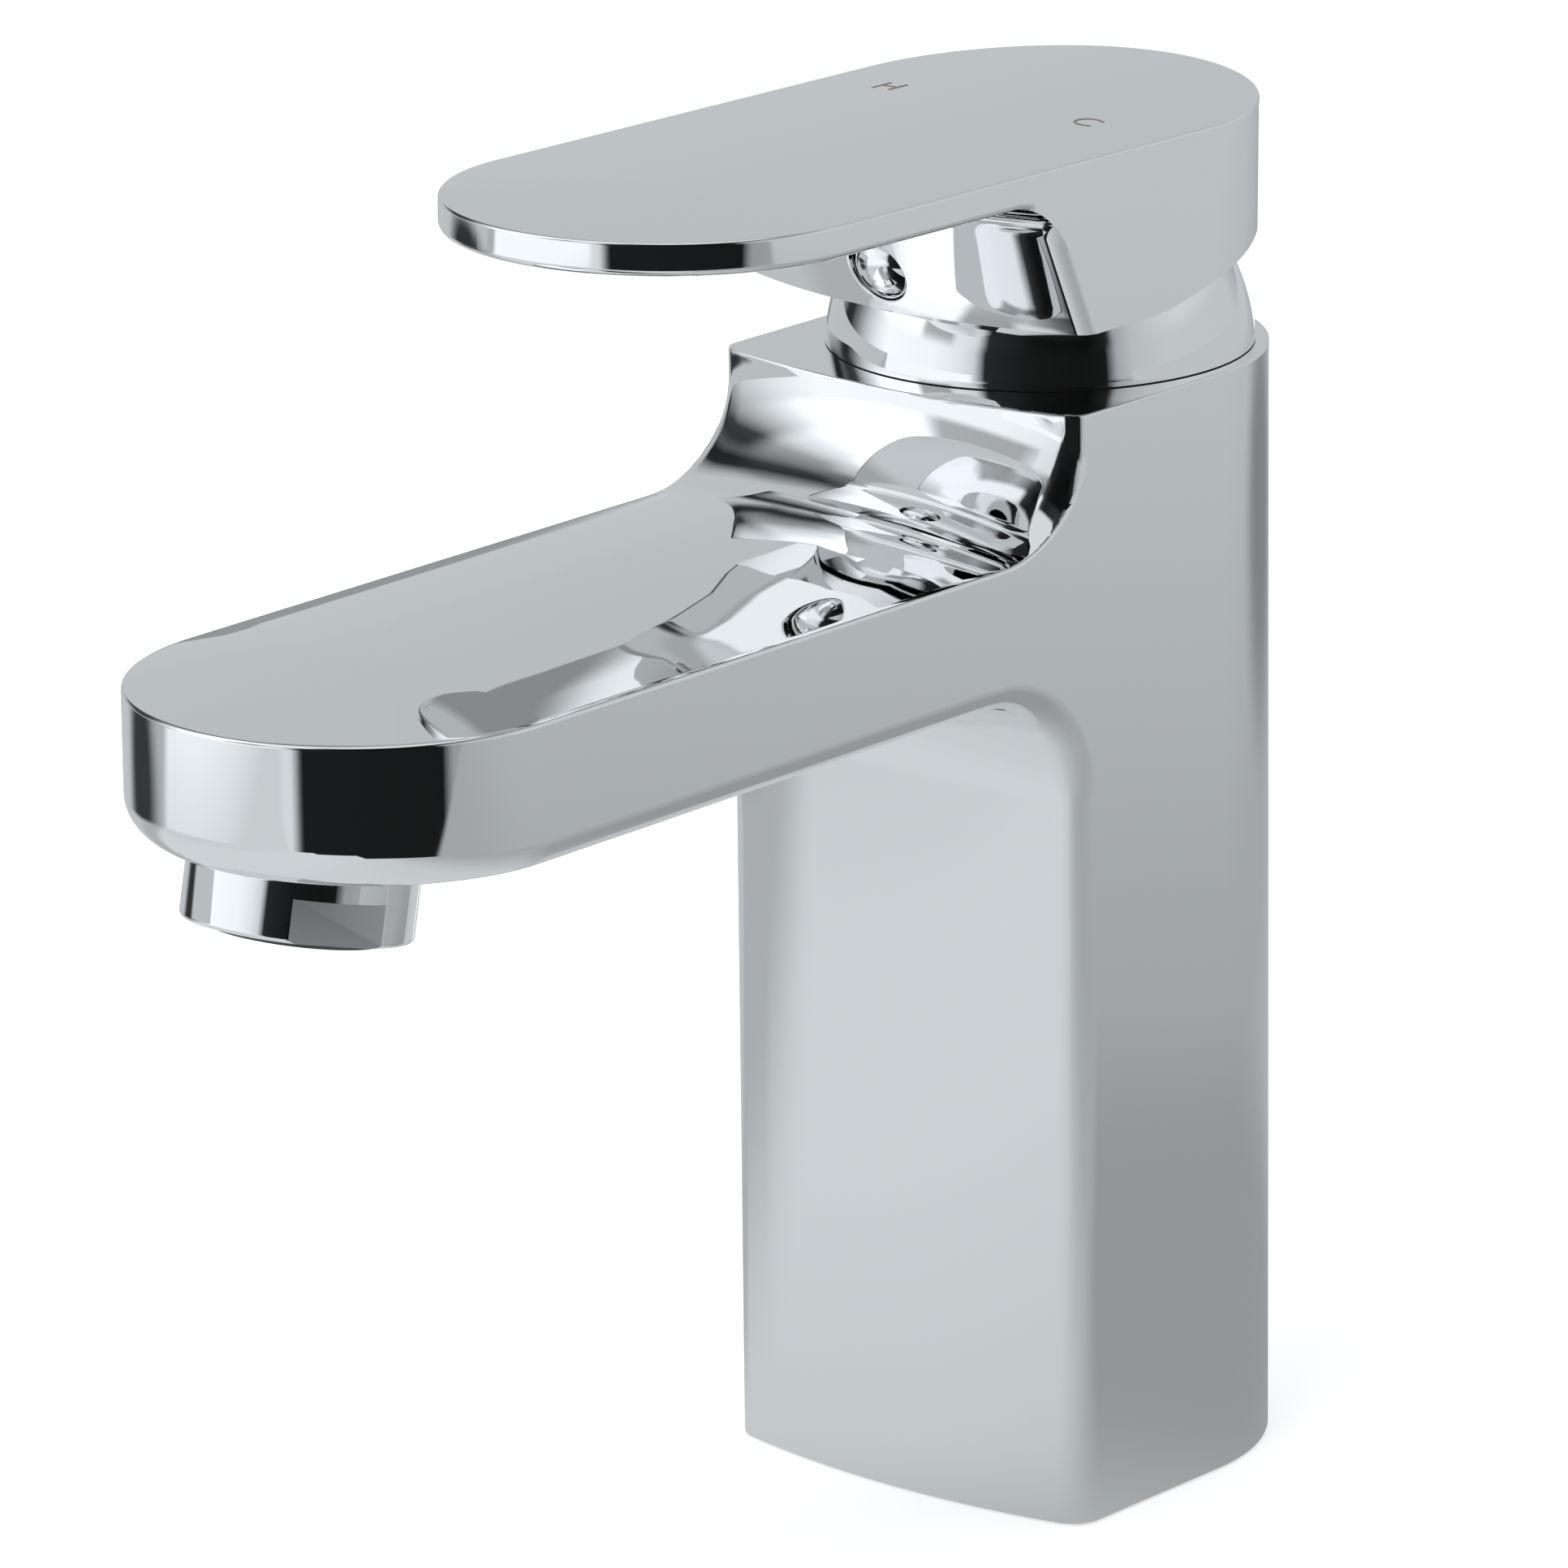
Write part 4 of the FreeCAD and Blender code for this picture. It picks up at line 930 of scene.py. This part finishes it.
class Value:
    """A number in a shader; an expression on it adds its Math nodes."""

    def __init__(self, graph, socket):
        self.graph = graph
        self.socket = socket

    def __add__(self, other):
        return self.graph.maths("ADD", self, other)

    def __radd__(self, other):
        return self.graph.maths("ADD", other, self)

    def __sub__(self, other):
        return self.graph.maths("SUBTRACT", self, other)

    def __rsub__(self, other):
        return self.graph.maths("SUBTRACT", other, self)

    def __mul__(self, other):
        return self.graph.maths("MULTIPLY", self, other)

    def __rmul__(self, other):
        return self.graph.maths("MULTIPLY", other, self)

    def __truediv__(self, other):
        return self.graph.maths("DIVIDE", self, other)

    def __rtruediv__(self, other):
        return self.graph.maths("DIVIDE", other, self)

    def __neg__(self):
        return self.graph.maths("MULTIPLY", self, -1.0)


class Graph:
    """The nodes of one material or world."""

    def __init__(self, owner):
        owner.use_nodes = True
        self.tree = owner.node_tree
        self.tree.nodes.clear()

    def node(self, kind, settings=None, inputs=None):
        """Add a node: its settings first, then the values or links of its sockets."""
        node = self.tree.nodes.new(kind)
        for name, setting in (settings or {}).items():
            if name == "stops":
                ramp = node.color_ramp
                for position, _ in setting[2:]:
                    ramp.elements.new(position)
                for element, (position, tone) in zip(ramp.elements, setting):
                    element.position = position
                    element.color = (tone, tone, tone, 1)
            else:
                setattr(node, name, setting)
        for name, value in (inputs or {}).items():
            if isinstance(value, Value):
                self.tree.links.new(value.socket, node.inputs[name])
            else:
                node.inputs[name].default_value = value
        return node

    def value(self, kind, settings=None, inputs=None, output=0):
        """Add a node and take one of its outputs."""
        return Value(self, self.node(kind, settings, inputs).outputs[output])

    def maths(self, operation, *values):
        """Add a Math node."""
        return self.value("ShaderNodeMath", {"operation": operation}, dict(enumerate(values)))

    def blend(self, factor, first, second):
        """Mix of two colours."""
        return self.value("ShaderNodeMix", {"data_type": "RGBA"}, {0: factor, 6: first, 7: second}, 2)

    def grain(self, scale, detail=2.0, stretch=(1, 1, 1)):
        """Noise on the piece's own coordinates, in waves per metre."""
        place = self.value("ShaderNodeTexCoord", output="Object")
        place = self.value("ShaderNodeMapping", inputs={"Vector": place, "Scale": stretch})
        return self.value("ShaderNodeTexNoise", inputs={"Vector": place, "Scale": scale, "Detail": detail})

    def axes(self, output, turn):
        """The three parts of a coordinate, turned so that the camera stands straight ahead."""
        place = self.value("ShaderNodeTexCoord", output=output)
        place = self.value("ShaderNodeMapping", inputs={"Vector": place, "Rotation": (0, 0, -turn)})
        parts = self.node("ShaderNodeSeparateXYZ", inputs={0: place})
        return [Value(self, socket) for socket in parts.outputs]

    def rays(self, *names):
        """1 for a kind of ray and 0 for all others, for each kind that is named."""
        path = self.node("ShaderNodeLightPath")
        return [Value(self, path.outputs[name]) for name in names]

    def heading(self, x, y):
        """Turn in degrees from the Y axis, + towards X."""
        return self.maths("ARCTAN2", x, y) * DEGREES

    def step(self, value, at, soft):
        """0 below a place and 1 above it, over a soft width."""
        return self.value("ShaderNodeMapRange", {"interpolation_type": "SMOOTHSTEP"},
                          {"Value": value, "From Min": at - soft / 2, "From Max": at + soft / 2}, "Result")

    def band(self, value, low, high, soft):
        """1 between two places and 0 beyond them, over a soft width."""
        return self.step(value, low, soft) * (1 - self.step(value, high, soft))

    def levels(self, value, stops):
        """Light from (place, level) stops, evenly blended between them; the ramp itself ends at 1."""
        first, last = stops[0][0], stops[-1][0]
        ramp = [((place - first) / (last - first), light_level(level) / 2) for place, level in stops]
        place = (value - first) / (last - first)
        return self.value("ShaderNodeValToRGB", {"stops": ramp}, {0: place}) * 2

    def tinted(self, light):
        """The studio's slightly cool white, as a colour."""
        parts = {slot: light * tone for slot, tone in enumerate(TINT)}
        return self.value("ShaderNodeCombineColor", inputs=parts)


def laid_over(light, cover, part):
    """Light where another light covers the part of it."""
    return light * (1 - part) + part * cover


def shade(tone, amount):
    """A colour made darker or brighter."""
    return tuple(min(1, part * amount) for part in tone)


def finish(name, tone, rough, metallic=0.0, variety=0.1, patches=60, grain=900, bump=0.0, stretch=(1, 1, 1)):
    """A surface with slow patches of tone, a fine grain in its gloss, and a relief of that grain."""
    material = bpy.data.materials.new(name)
    graph = Graph(material)
    slow = graph.grain(patches)
    fine = graph.grain(grain, 3, stretch)
    base = graph.blend(slow, (*shade(tone, 1 - variety), 1), (*shade(tone, 1 + variety), 1))
    gloss = rough * (0.75 + 0.3 * fine + 0.2 * slow)
    inputs = {"Base Color": base, "Roughness": gloss, "Metallic": metallic}
    if bump:
        relief = {"Strength": bump, "Distance": RELIEF, "Height": fine}
        inputs["Normal"] = graph.value("ShaderNodeBump", inputs=relief)
    shader = graph.node("ShaderNodeBsdfPrincipled", inputs=inputs)
    graph.node("ShaderNodeOutputMaterial", inputs={"Surface": Value(graph, shader.outputs[0])})
    return material


def polished_chrome():
    """The one polished finish that all plated pieces share."""
    tones = bpy.context.scene.mixer_finish
    made = bpy.data.materials.get("polished_chrome")
    return made or finish("polished_chrome", tones.chrome, tones.chrome_gloss, 1.0,
                          variety=0.006, patches=25, grain=400)


def dress(piece, *materials):
    """Give a piece its materials, one to a slot."""
    piece.data.materials.clear()
    for each in materials:
        piece.data.materials.append(each)


# ---------------------------------------------------------------- studio
# What the chrome mirrors, row above row. A stop is a turn from the camera in degrees, + to its right, and a
# level of 0 to 255 as it looks in the chrome. A black screen stands round the camera and a white one to its
# left with a dark gap behind it, and grey walls close the right and the rear.
LOW = ((-180, 230), (-60, 225), (-34, 214), (-29, 28), (38, 24), (43, 150), (90, 176), (180, 230))
LEVEL = (
    (-180, 190), (-168, 190), (-150, 180), (-140, 147), (-132, 45), (-126, 45), (-119, 120), (-110, 190),
    (-100, 232), (-92, 252), (-60, 245), (-45, 228), (-37, 208), (-31, 39), (-10, 25), (20, 19), (34, 24),
    (40, 165), (50, 188), (70, 196), (130, 194), (150, 165), (165, 186), (180, 190),
)
MIDDLE = (
    (-180, 187), (-161, 190), (-156, 165), (-149, 40), (-142, 34), (-136, 87), (-129, 52), (-122, 60),
    (-115, 165), (-105, 230), (-97, 272), (-72, 272), (-68, 174), (-52, 168), (-48, 228), (-36, 215),
    (-30, 40), (-20, 36), (-5, 20), (25, 13), (36, 34), (40, 160), (50, 186), (65, 198), (82, 208),
    (120, 203), (155, 188), (180, 187),
)
UPPER = (
    (-180, 188), (-162, 187), (-155, 130), (-148, 46), (-142, 60), (-135, 122), (-125, 158), (-117, 215),
    (-108, 245), (-100, 280), (-74, 280), (-68, 186), (-55, 172), (-45, 190), (-34, 120), (-26, 55),
    (-15, 26), (5, 15), (35, 18), (45, 120), (60, 160), (90, 190), (140, 182), (180, 187),
)
HIGH = (
    (-180, 160), (-168, 120), (-157, 55), (-145, 84), (-135, 113), (-127, 185), (-118, 215), (-108, 280),
    (-36, 270), (-24, 60), (-10, 30), (60, 60), (110, 150), (180, 162),
)
# the height in degrees at which each row starts, how softly it does, and its stops
ROWS = ((-6, 4, LEVEL), (12, 7, MIDDLE), (30, 8, UPPER), (48, 6, HIGH))
OVERHEAD = (61, 5, 215)     # the same for the ceiling, with its one level

# What the chrome mirrors of the floor, painted as glowing light: levels across, from the camera's left to its
# right in metres. The dip just to the right of the faucet is the faucet's painted shadow.
FLOOR = (
    (-0.6, 250), (-0.48, 242), (-0.42, 225), (-0.36, 203), (-0.3, 204), (-0.2, 210), (-0.12, 208),
    (-0.03, 199), (0.02, 182), (0.08, 169), (0.15, 164), (0.22, 166), (0.28, 173), (0.36, 179),
    (0.46, 186), (0.6, 192), (0.7, 192),
)
# painted shades behind the faucet, darker and lighter bands: from one turn to the next, how far back, and
# level
PAINTED_SHADES_BEHIND = ((-100, -18, 0.015, 173), (-100, -18, 0.08, 188), (-18, -3, 0.03, 145), (-3, 17, 0.03, 248))
# soft round patches of painted shade on the mirrored floor, the one just right of the faucet being its
# painted
# shadow: place across, place away, radius, level
PAINTED_SHADE_PATCHES = (
    (-0.36, 0.14, 0.085, 55), (-0.56, 0.27, 0.16, 50), (0.26, 0.32, 0.11, 130), (0.08, 0.01, 0.08, 150),
)
# towards the camera, between two turns, the mirrored floor ends this far from the faucet
FLOOR_END = (-38, 48, 0.37)
TINT = (0.947, 0.995, 1.030)    # of the mirrored light: a slightly cool white

FLOOR_SIZE = 8.0
FLOOR_DROP = 0.0002         # keeps the floor clear of the foot
FLOOR_GREY = 0.8
FLOOR_GLOW = 0.55           # lifts the floor to white for the camera alone
SOFT_TURN = 4.0             # degrees over which one shade of the floor passes into the next
LAMP_AIM = Vector((0, -0.05, 0.08))
LAMP_PLACE = Vector((-0.45, -0.35, 1.1))    # from there, as the camera sees it: across, away, up


def make_world(settings):
    """White for the camera, soft light for matt surfaces, and the rows of screens for mirrored rays."""
    world = bpy.data.worlds.new("studio")
    bpy.context.scene.world = world
    graph = Graph(world)
    x, y, z = graph.axes("Generated", settings.turn)
    turn = graph.heading(x, -y)
    height = graph.maths("ARCSINE", z) * DEGREES
    light = graph.levels(turn, LOW)
    for at, soft, stops in ROWS:
        light = laid_over(light, graph.levels(turn, stops), graph.step(height, at, soft))
    at, soft, level = OVERHEAD
    light = laid_over(light, light_level(level), graph.step(height, at, soft))
    seen, glossy, through = graph.rays("Is Camera Ray", "Is Glossy Ray", "Is Transmission Ray")
    mirrored = graph.maths("MAXIMUM", glossy, through)
    light = laid_over(settings.soft_light, light, mirrored)
    light = graph.blend(seen, graph.tinted(light), (1, 1, 1, 1))
    shader = graph.node("ShaderNodeBackground", inputs={"Color": light, "Strength": 1.0})
    graph.node("ShaderNodeOutputWorld", inputs={"Surface": Value(graph, shader.outputs[0])})


def painted_mirrored_floor(graph, x, y):
    """The floor as the chrome shows it, a painted glow: graded across, painted shade beside and behind the
    faucet, open ahead.
    """
    # painted light of the floor across, with the faucet's painted shadow just to its right
    light = graph.levels(x, FLOOR)
    turn = graph.heading(x, y)
    # bands of painted shade behind the faucet
    for low, high, back, level in PAINTED_SHADES_BEHIND:
        part = graph.band(turn, low, high, SOFT_TURN) * graph.step(y, back, 0.04)
        light = laid_over(light, light_level(level), part)
    # round patches of painted shade, one of them the faucet's painted shadow
    for across, away, radius, level in PAINTED_SHADE_PATCHES:
        far = graph.maths("SQRT", (x - across) * (x - across) + (y - away) * (y - away))
        light = laid_over(light, light_level(level), 1 - graph.step(far, radius, radius))
    # the floor's painted light, with its painted shadow and shade, given out as a glow
    painted_glow = graph.value("ShaderNodeEmission", inputs={"Color": graph.tinted(light)})
    clear = graph.value("ShaderNodeBsdfTransparent")
    low, high, end = FLOOR_END
    beyond = graph.band(graph.heading(x, -y), low, high, SOFT_TURN) * graph.step(-y, end, 0.012)
    return graph.value("ShaderNodeMixShader", inputs={0: beyond, 1: painted_glow, 2: clear})


def make_floor(settings):
    """Plain pale floor that keeps the faucet's shadow; the chrome mirrors a painted glow with painted shade
    instead.
    """
    deselect()
    bpy.ops.mesh.primitive_plane_add(size=FLOOR_SIZE, location=(0, 0, 0))
    floor = named("floor")
    floor.data.transform(Matrix.Translation((0, 0, -FLOOR_DROP)))
    material = bpy.data.materials.new("pale_floor")
    graph = Graph(material)
    x, y, _ = graph.axes("Object", settings.turn)
    mirrored = painted_mirrored_floor(graph, x, y)
    seen, glossy = graph.rays("Is Camera Ray", "Is Glossy Ray")
    grey = (FLOOR_GREY, FLOOR_GREY, FLOOR_GREY, 1)
    matt = graph.value("ShaderNodeBsdfDiffuse", inputs={"Color": grey})
    glow = graph.value("ShaderNodeEmission", inputs={"Color": (1, 1, 1, 1), "Strength": seen * FLOOR_GLOW})
    pale = graph.value("ShaderNodeAddShader", inputs={0: matt, 1: glow})
    # mirrored rays see the painted glow with its painted shadow and shade, not the lit floor
    surface = graph.value("ShaderNodeMixShader", inputs={0: glossy, 1: pale, 2: mirrored})
    graph.node("ShaderNodeOutputMaterial", inputs={"Surface": surface})
    dress(floor, material)


def make_lamp(settings):
    """One large soft lamp above, which the chrome doesn't mirror."""
    lamp_data = bpy.data.lights.new("large_lamp", "AREA")
    lamp_data.shape = "DISK"
    lamp_data.size = settings.lamp_size
    lamp_data.energy = settings.lamp
    lamp = bpy.data.objects.new("large_lamp", lamp_data)
    bpy.context.scene.collection.objects.link(lamp)
    lamp.location = LAMP_AIM + Matrix.Rotation(settings.turn, 3, "Z") @ LAMP_PLACE
    lamp.rotation_euler = (lamp.location - LAMP_AIM).to_track_quat("Z", "Y").to_euler()
    lamp.visible_glossy = False


def make_camera(settings):
    """Long lens that looks down at one front corner, slightly rolled."""
    camera_data = bpy.data.cameras.new("camera")
    camera_data.lens = settings.lens
    camera_data.sensor_width = 36
    camera_data.clip_end = 50
    camera = bpy.data.objects.new("camera", camera_data)
    bpy.context.scene.collection.objects.link(camera)
    across = Vector((math.cos(settings.turn), math.sin(settings.turn), 0))
    back = across.cross(UP) * math.cos(settings.height) + UP * math.sin(settings.height)
    across.rotate(Matrix.Rotation(settings.roll, 3, back))
    place = Matrix((across, back.cross(across), back)).transposed().to_4x4()
    place.translation = settings.place
    camera.matrix_world = place
    bpy.context.scene.camera = camera


# ---------------------------------------------------------------- operators
class MIXER_OT_body(bpy.types.Operator):
    """Column and spout as one polished casting with its open hollow, bore and aerator seat"""
    bl_idname = "mixer.body"
    bl_label = "Make the body"

    def execute(self, context):
        sizes = context.scene.mixer_body
        body = make_body(sizes, context.scene.mixer_aerator)
        casting = finish("raw_casting", context.scene.mixer_finish.casting, 0.48, 1.0,
                         variety=0.16, patches=90, grain=1500, bump=0.35)
        dress(body, polished_chrome(), casting)
        for face in body.data.polygons:
            face.material_index = int(is_bare(sizes, face.center))
        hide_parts("faucet_body")
        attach(body, "mixer_body")
        return {"FINISHED"}


class MIXER_OT_dome(bpy.types.Operator):
    """Domed cover between the column and the handle"""
    bl_idname = "mixer.dome"
    bl_label = "Make the dome"

    def execute(self, context):
        dome = make_dome(context.scene.mixer_dome)
        dress(dome, polished_chrome())
        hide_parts("dome_cover")
        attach(dome, "mixer_body")
        return {"FINISHED"}


class MIXER_OT_handle(bpy.types.Operator):
    """Lever handle with its blade, hub, cup and socket"""
    bl_idname = "mixer.handle"
    bl_label = "Make the handle"

    def execute(self, context):
        handle = make_handle(context.scene.mixer_handle)
        dress(handle, polished_chrome())
        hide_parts("handle")
        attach(handle, "lever")
        return {"FINISHED"}


class MIXER_OT_marks(bpy.types.Operator):
    """Hot and cold letters on the handle's top"""
    bl_idname = "mixer.marks"
    bl_label = "Make the marks"

    def execute(self, context):
        ink = finish("mark_ink", context.scene.mixer_finish.mark, 0.45, variety=0.12, patches=900, grain=2500)
        for mark in make_marks(context.scene.mixer_handle):
            dress(mark, ink)
            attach(mark, "lever")
        return {"FINISHED"}


class MIXER_OT_plug(bpy.types.Operator):
    """Domed plug in the mouth of the handle's screw hole"""
    bl_idname = "mixer.plug"
    bl_label = "Make the plug"

    def execute(self, context):
        plug = make_plug(context.scene.mixer_handle)
        dress(plug, polished_chrome())
        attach(plug, "lever")
        return {"FINISHED"}


class MIXER_OT_aerator(bpy.types.Operator):
    """Aerator's ring with its two brushed wrench flats"""
    bl_idname = "mixer.aerator"
    bl_label = "Make the aerator"

    def execute(self, context):
        sizes = context.scene.mixer_aerator
        ring = make_aerator(sizes)
        brushed = finish("brushed_chrome", context.scene.mixer_finish.brushed, 0.30, 1.0,
                         variety=0.05, patches=150, grain=1200, bump=0.10, stretch=(1, 1, 12))
        dress(ring, polished_chrome(), brushed)
        out = Matrix.Rotation(sizes.flat_turn - math.pi / 2, 3, "Z") @ Vector((1, 0, 0))
        for face in ring.data.polygons:
            on_flat = abs(abs(face.center.dot(out)) - (sizes.radius - sizes.flat_cut)) < NEAR
            face.material_index = int(on_flat and abs(face.normal.dot(out)) > 0.999 and face.center.z < 0)
        tip, _, under = spout_places(context.scene.mixer_body)
        onto_aerator(ring, sizes, tip, under)
        smooth(ring)
        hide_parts("aerator_housing")
        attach(ring, "mixer_body")
        return {"FINISHED"}


class MIXER_OT_inner_parts(bpy.types.Operator):
    """Finishes of the seals, the cartridge, the nut, the screw and the jet insert"""
    bl_idname = "mixer.inner_parts"
    bl_label = "Finish the inner parts"

    def execute(self, context):
        tones = context.scene.mixer_finish
        rubber = finish("seal_rubber", tones.rubber, 0.62, variety=0.25, patches=300, grain=3000, bump=0.15)
        white = finish("housing_plastic", tones.white_plastic, 0.42,
                       variety=0.03, patches=120, grain=2600, bump=0.10)
        grey = finish("carrier_plastic", tones.grey_plastic, 0.40,
                      variety=0.06, patches=140, grain=2600, bump=0.10)
        red = finish("limit_plastic", tones.red_plastic, 0.38,
                     variety=0.06, patches=140, grain=2600, bump=0.10)
        insert = finish("insert_plastic", tones.insert, 0.36,
                        variety=0.10, patches=200, grain=2600, bump=0.08)
        ceramic = finish("lapped_ceramic", tones.ceramic, 0.16,
                         variety=0.02, patches=180, grain=4000, bump=0.03)
        brass = finish("turned_brass", tones.brass, 0.24, 1.0,
                       variety=0.07, patches=150, grain=900, bump=0.12, stretch=(1, 1, 9))
        stem = finish("drawn_brass", tones.brass, 0.28, 1.0,
                      variety=0.07, patches=150, grain=900, bump=0.12, stretch=(9, 9, 1))
        wire = finish("screen_wire", tones.steel, 0.30, 1.0, variety=0.08, patches=500, grain=3000)
        steel = finish("bright_steel", tones.steel, 0.22, 1.0,
                       variety=0.06, patches=250, grain=2200, bump=0.06)
        black = finish("blackened_steel", shade(tones.steel, 0.18), 0.34, 1.0,
                       variety=0.15, patches=400, grain=2200, bump=0.08)
        worn_by = {
            rubber: ("base_seal", "base_port_seals", "disc_port_seals", "dome_seal", "aerator_washer"),
            white: ("cartridge_housing",),
            grey: ("cartridge_base", "cartridge_rotor", "disc_carrier"),
            red: ("temperature_limit_ring",),
            insert: ("aerator_insert",),
            ceramic: ("fixed_ceramic_disc", "moving_ceramic_disc"),
            brass: ("cartridge_lock_nut",),
            stem: ("cartridge_stem",),
            wire: ("aerator_screen",),
            steel: ("stem_pivot_pin",),
            black: ("handle_grub_screw",),
        }
        for material, nodes in worn_by.items():
            for node in nodes:
                for slot in frame["nodes"][node].material_slots:
                    slot.material = material
        return {"FINISHED"}


class MIXER_OT_stage(bpy.types.Operator):
    """Camera, floor, lights and the studio that the chrome mirrors"""
    bl_idname = "mixer.stage"
    bl_label = "Set the stage"

    def execute(self, context):
        settings = context.scene.mixer_studio
        make_world(settings)
        make_floor(settings)
        make_lamp(settings)
        make_camera(settings)
        context.scene.view_settings.view_transform = "Standard"
        return {"FINISHED"}


class MIXER_PT_panel(bpy.types.Panel):
    """Lists the pieces and the stage"""
    bl_idname = "MIXER_PT_panel"
    bl_label = "Basin Mixer"
    bl_space_type = "VIEW_3D"
    bl_region_type = "UI"
    bl_category = "Basin Mixer"

    def draw(self, context):
        for each in PIECES:
            self.layout.operator(each.bl_idname)
        for name in SETTINGS:
            group = getattr(context.scene, name)
            box = self.layout.box()
            box.label(text=group.bl_rna.description)
            for setting in group.__annotations__:
                box.prop(group, setting)


PIECES = (MIXER_OT_body, MIXER_OT_dome, MIXER_OT_handle, MIXER_OT_plug, MIXER_OT_marks, MIXER_OT_aerator,
          MIXER_OT_inner_parts, MIXER_OT_stage)
SETTINGS = {
    "mixer_body": BodySizes,
    "mixer_dome": DomeSizes,
    "mixer_handle": HandleSizes,
    "mixer_aerator": AeratorSizes,
    "mixer_finish": FinishSettings,
    "mixer_studio": StudioSettings,
}
CLASSES = (*SETTINGS.values(), *PIECES, MIXER_PT_panel)


def register():
    for each in CLASSES:
        bpy.utils.register_class(each)
    for name, group in SETTINGS.items():
        setattr(bpy.types.Scene, name, PointerProperty(type=group))


def unregister():
    for name in SETTINGS:
        delattr(bpy.types.Scene, name)
    for each in reversed(CLASSES):
        bpy.utils.unregister_class(each)


def main():
    register()
    bpy.ops.mixer.body()
    bpy.ops.mixer.dome()
    bpy.ops.mixer.handle()
    bpy.ops.mixer.plug()
    bpy.ops.mixer.marks()
    bpy.ops.mixer.aerator()
    bpy.ops.mixer.inner_parts()
    bpy.ops.mixer.stage()


if __name__ == "__main__":
    main()
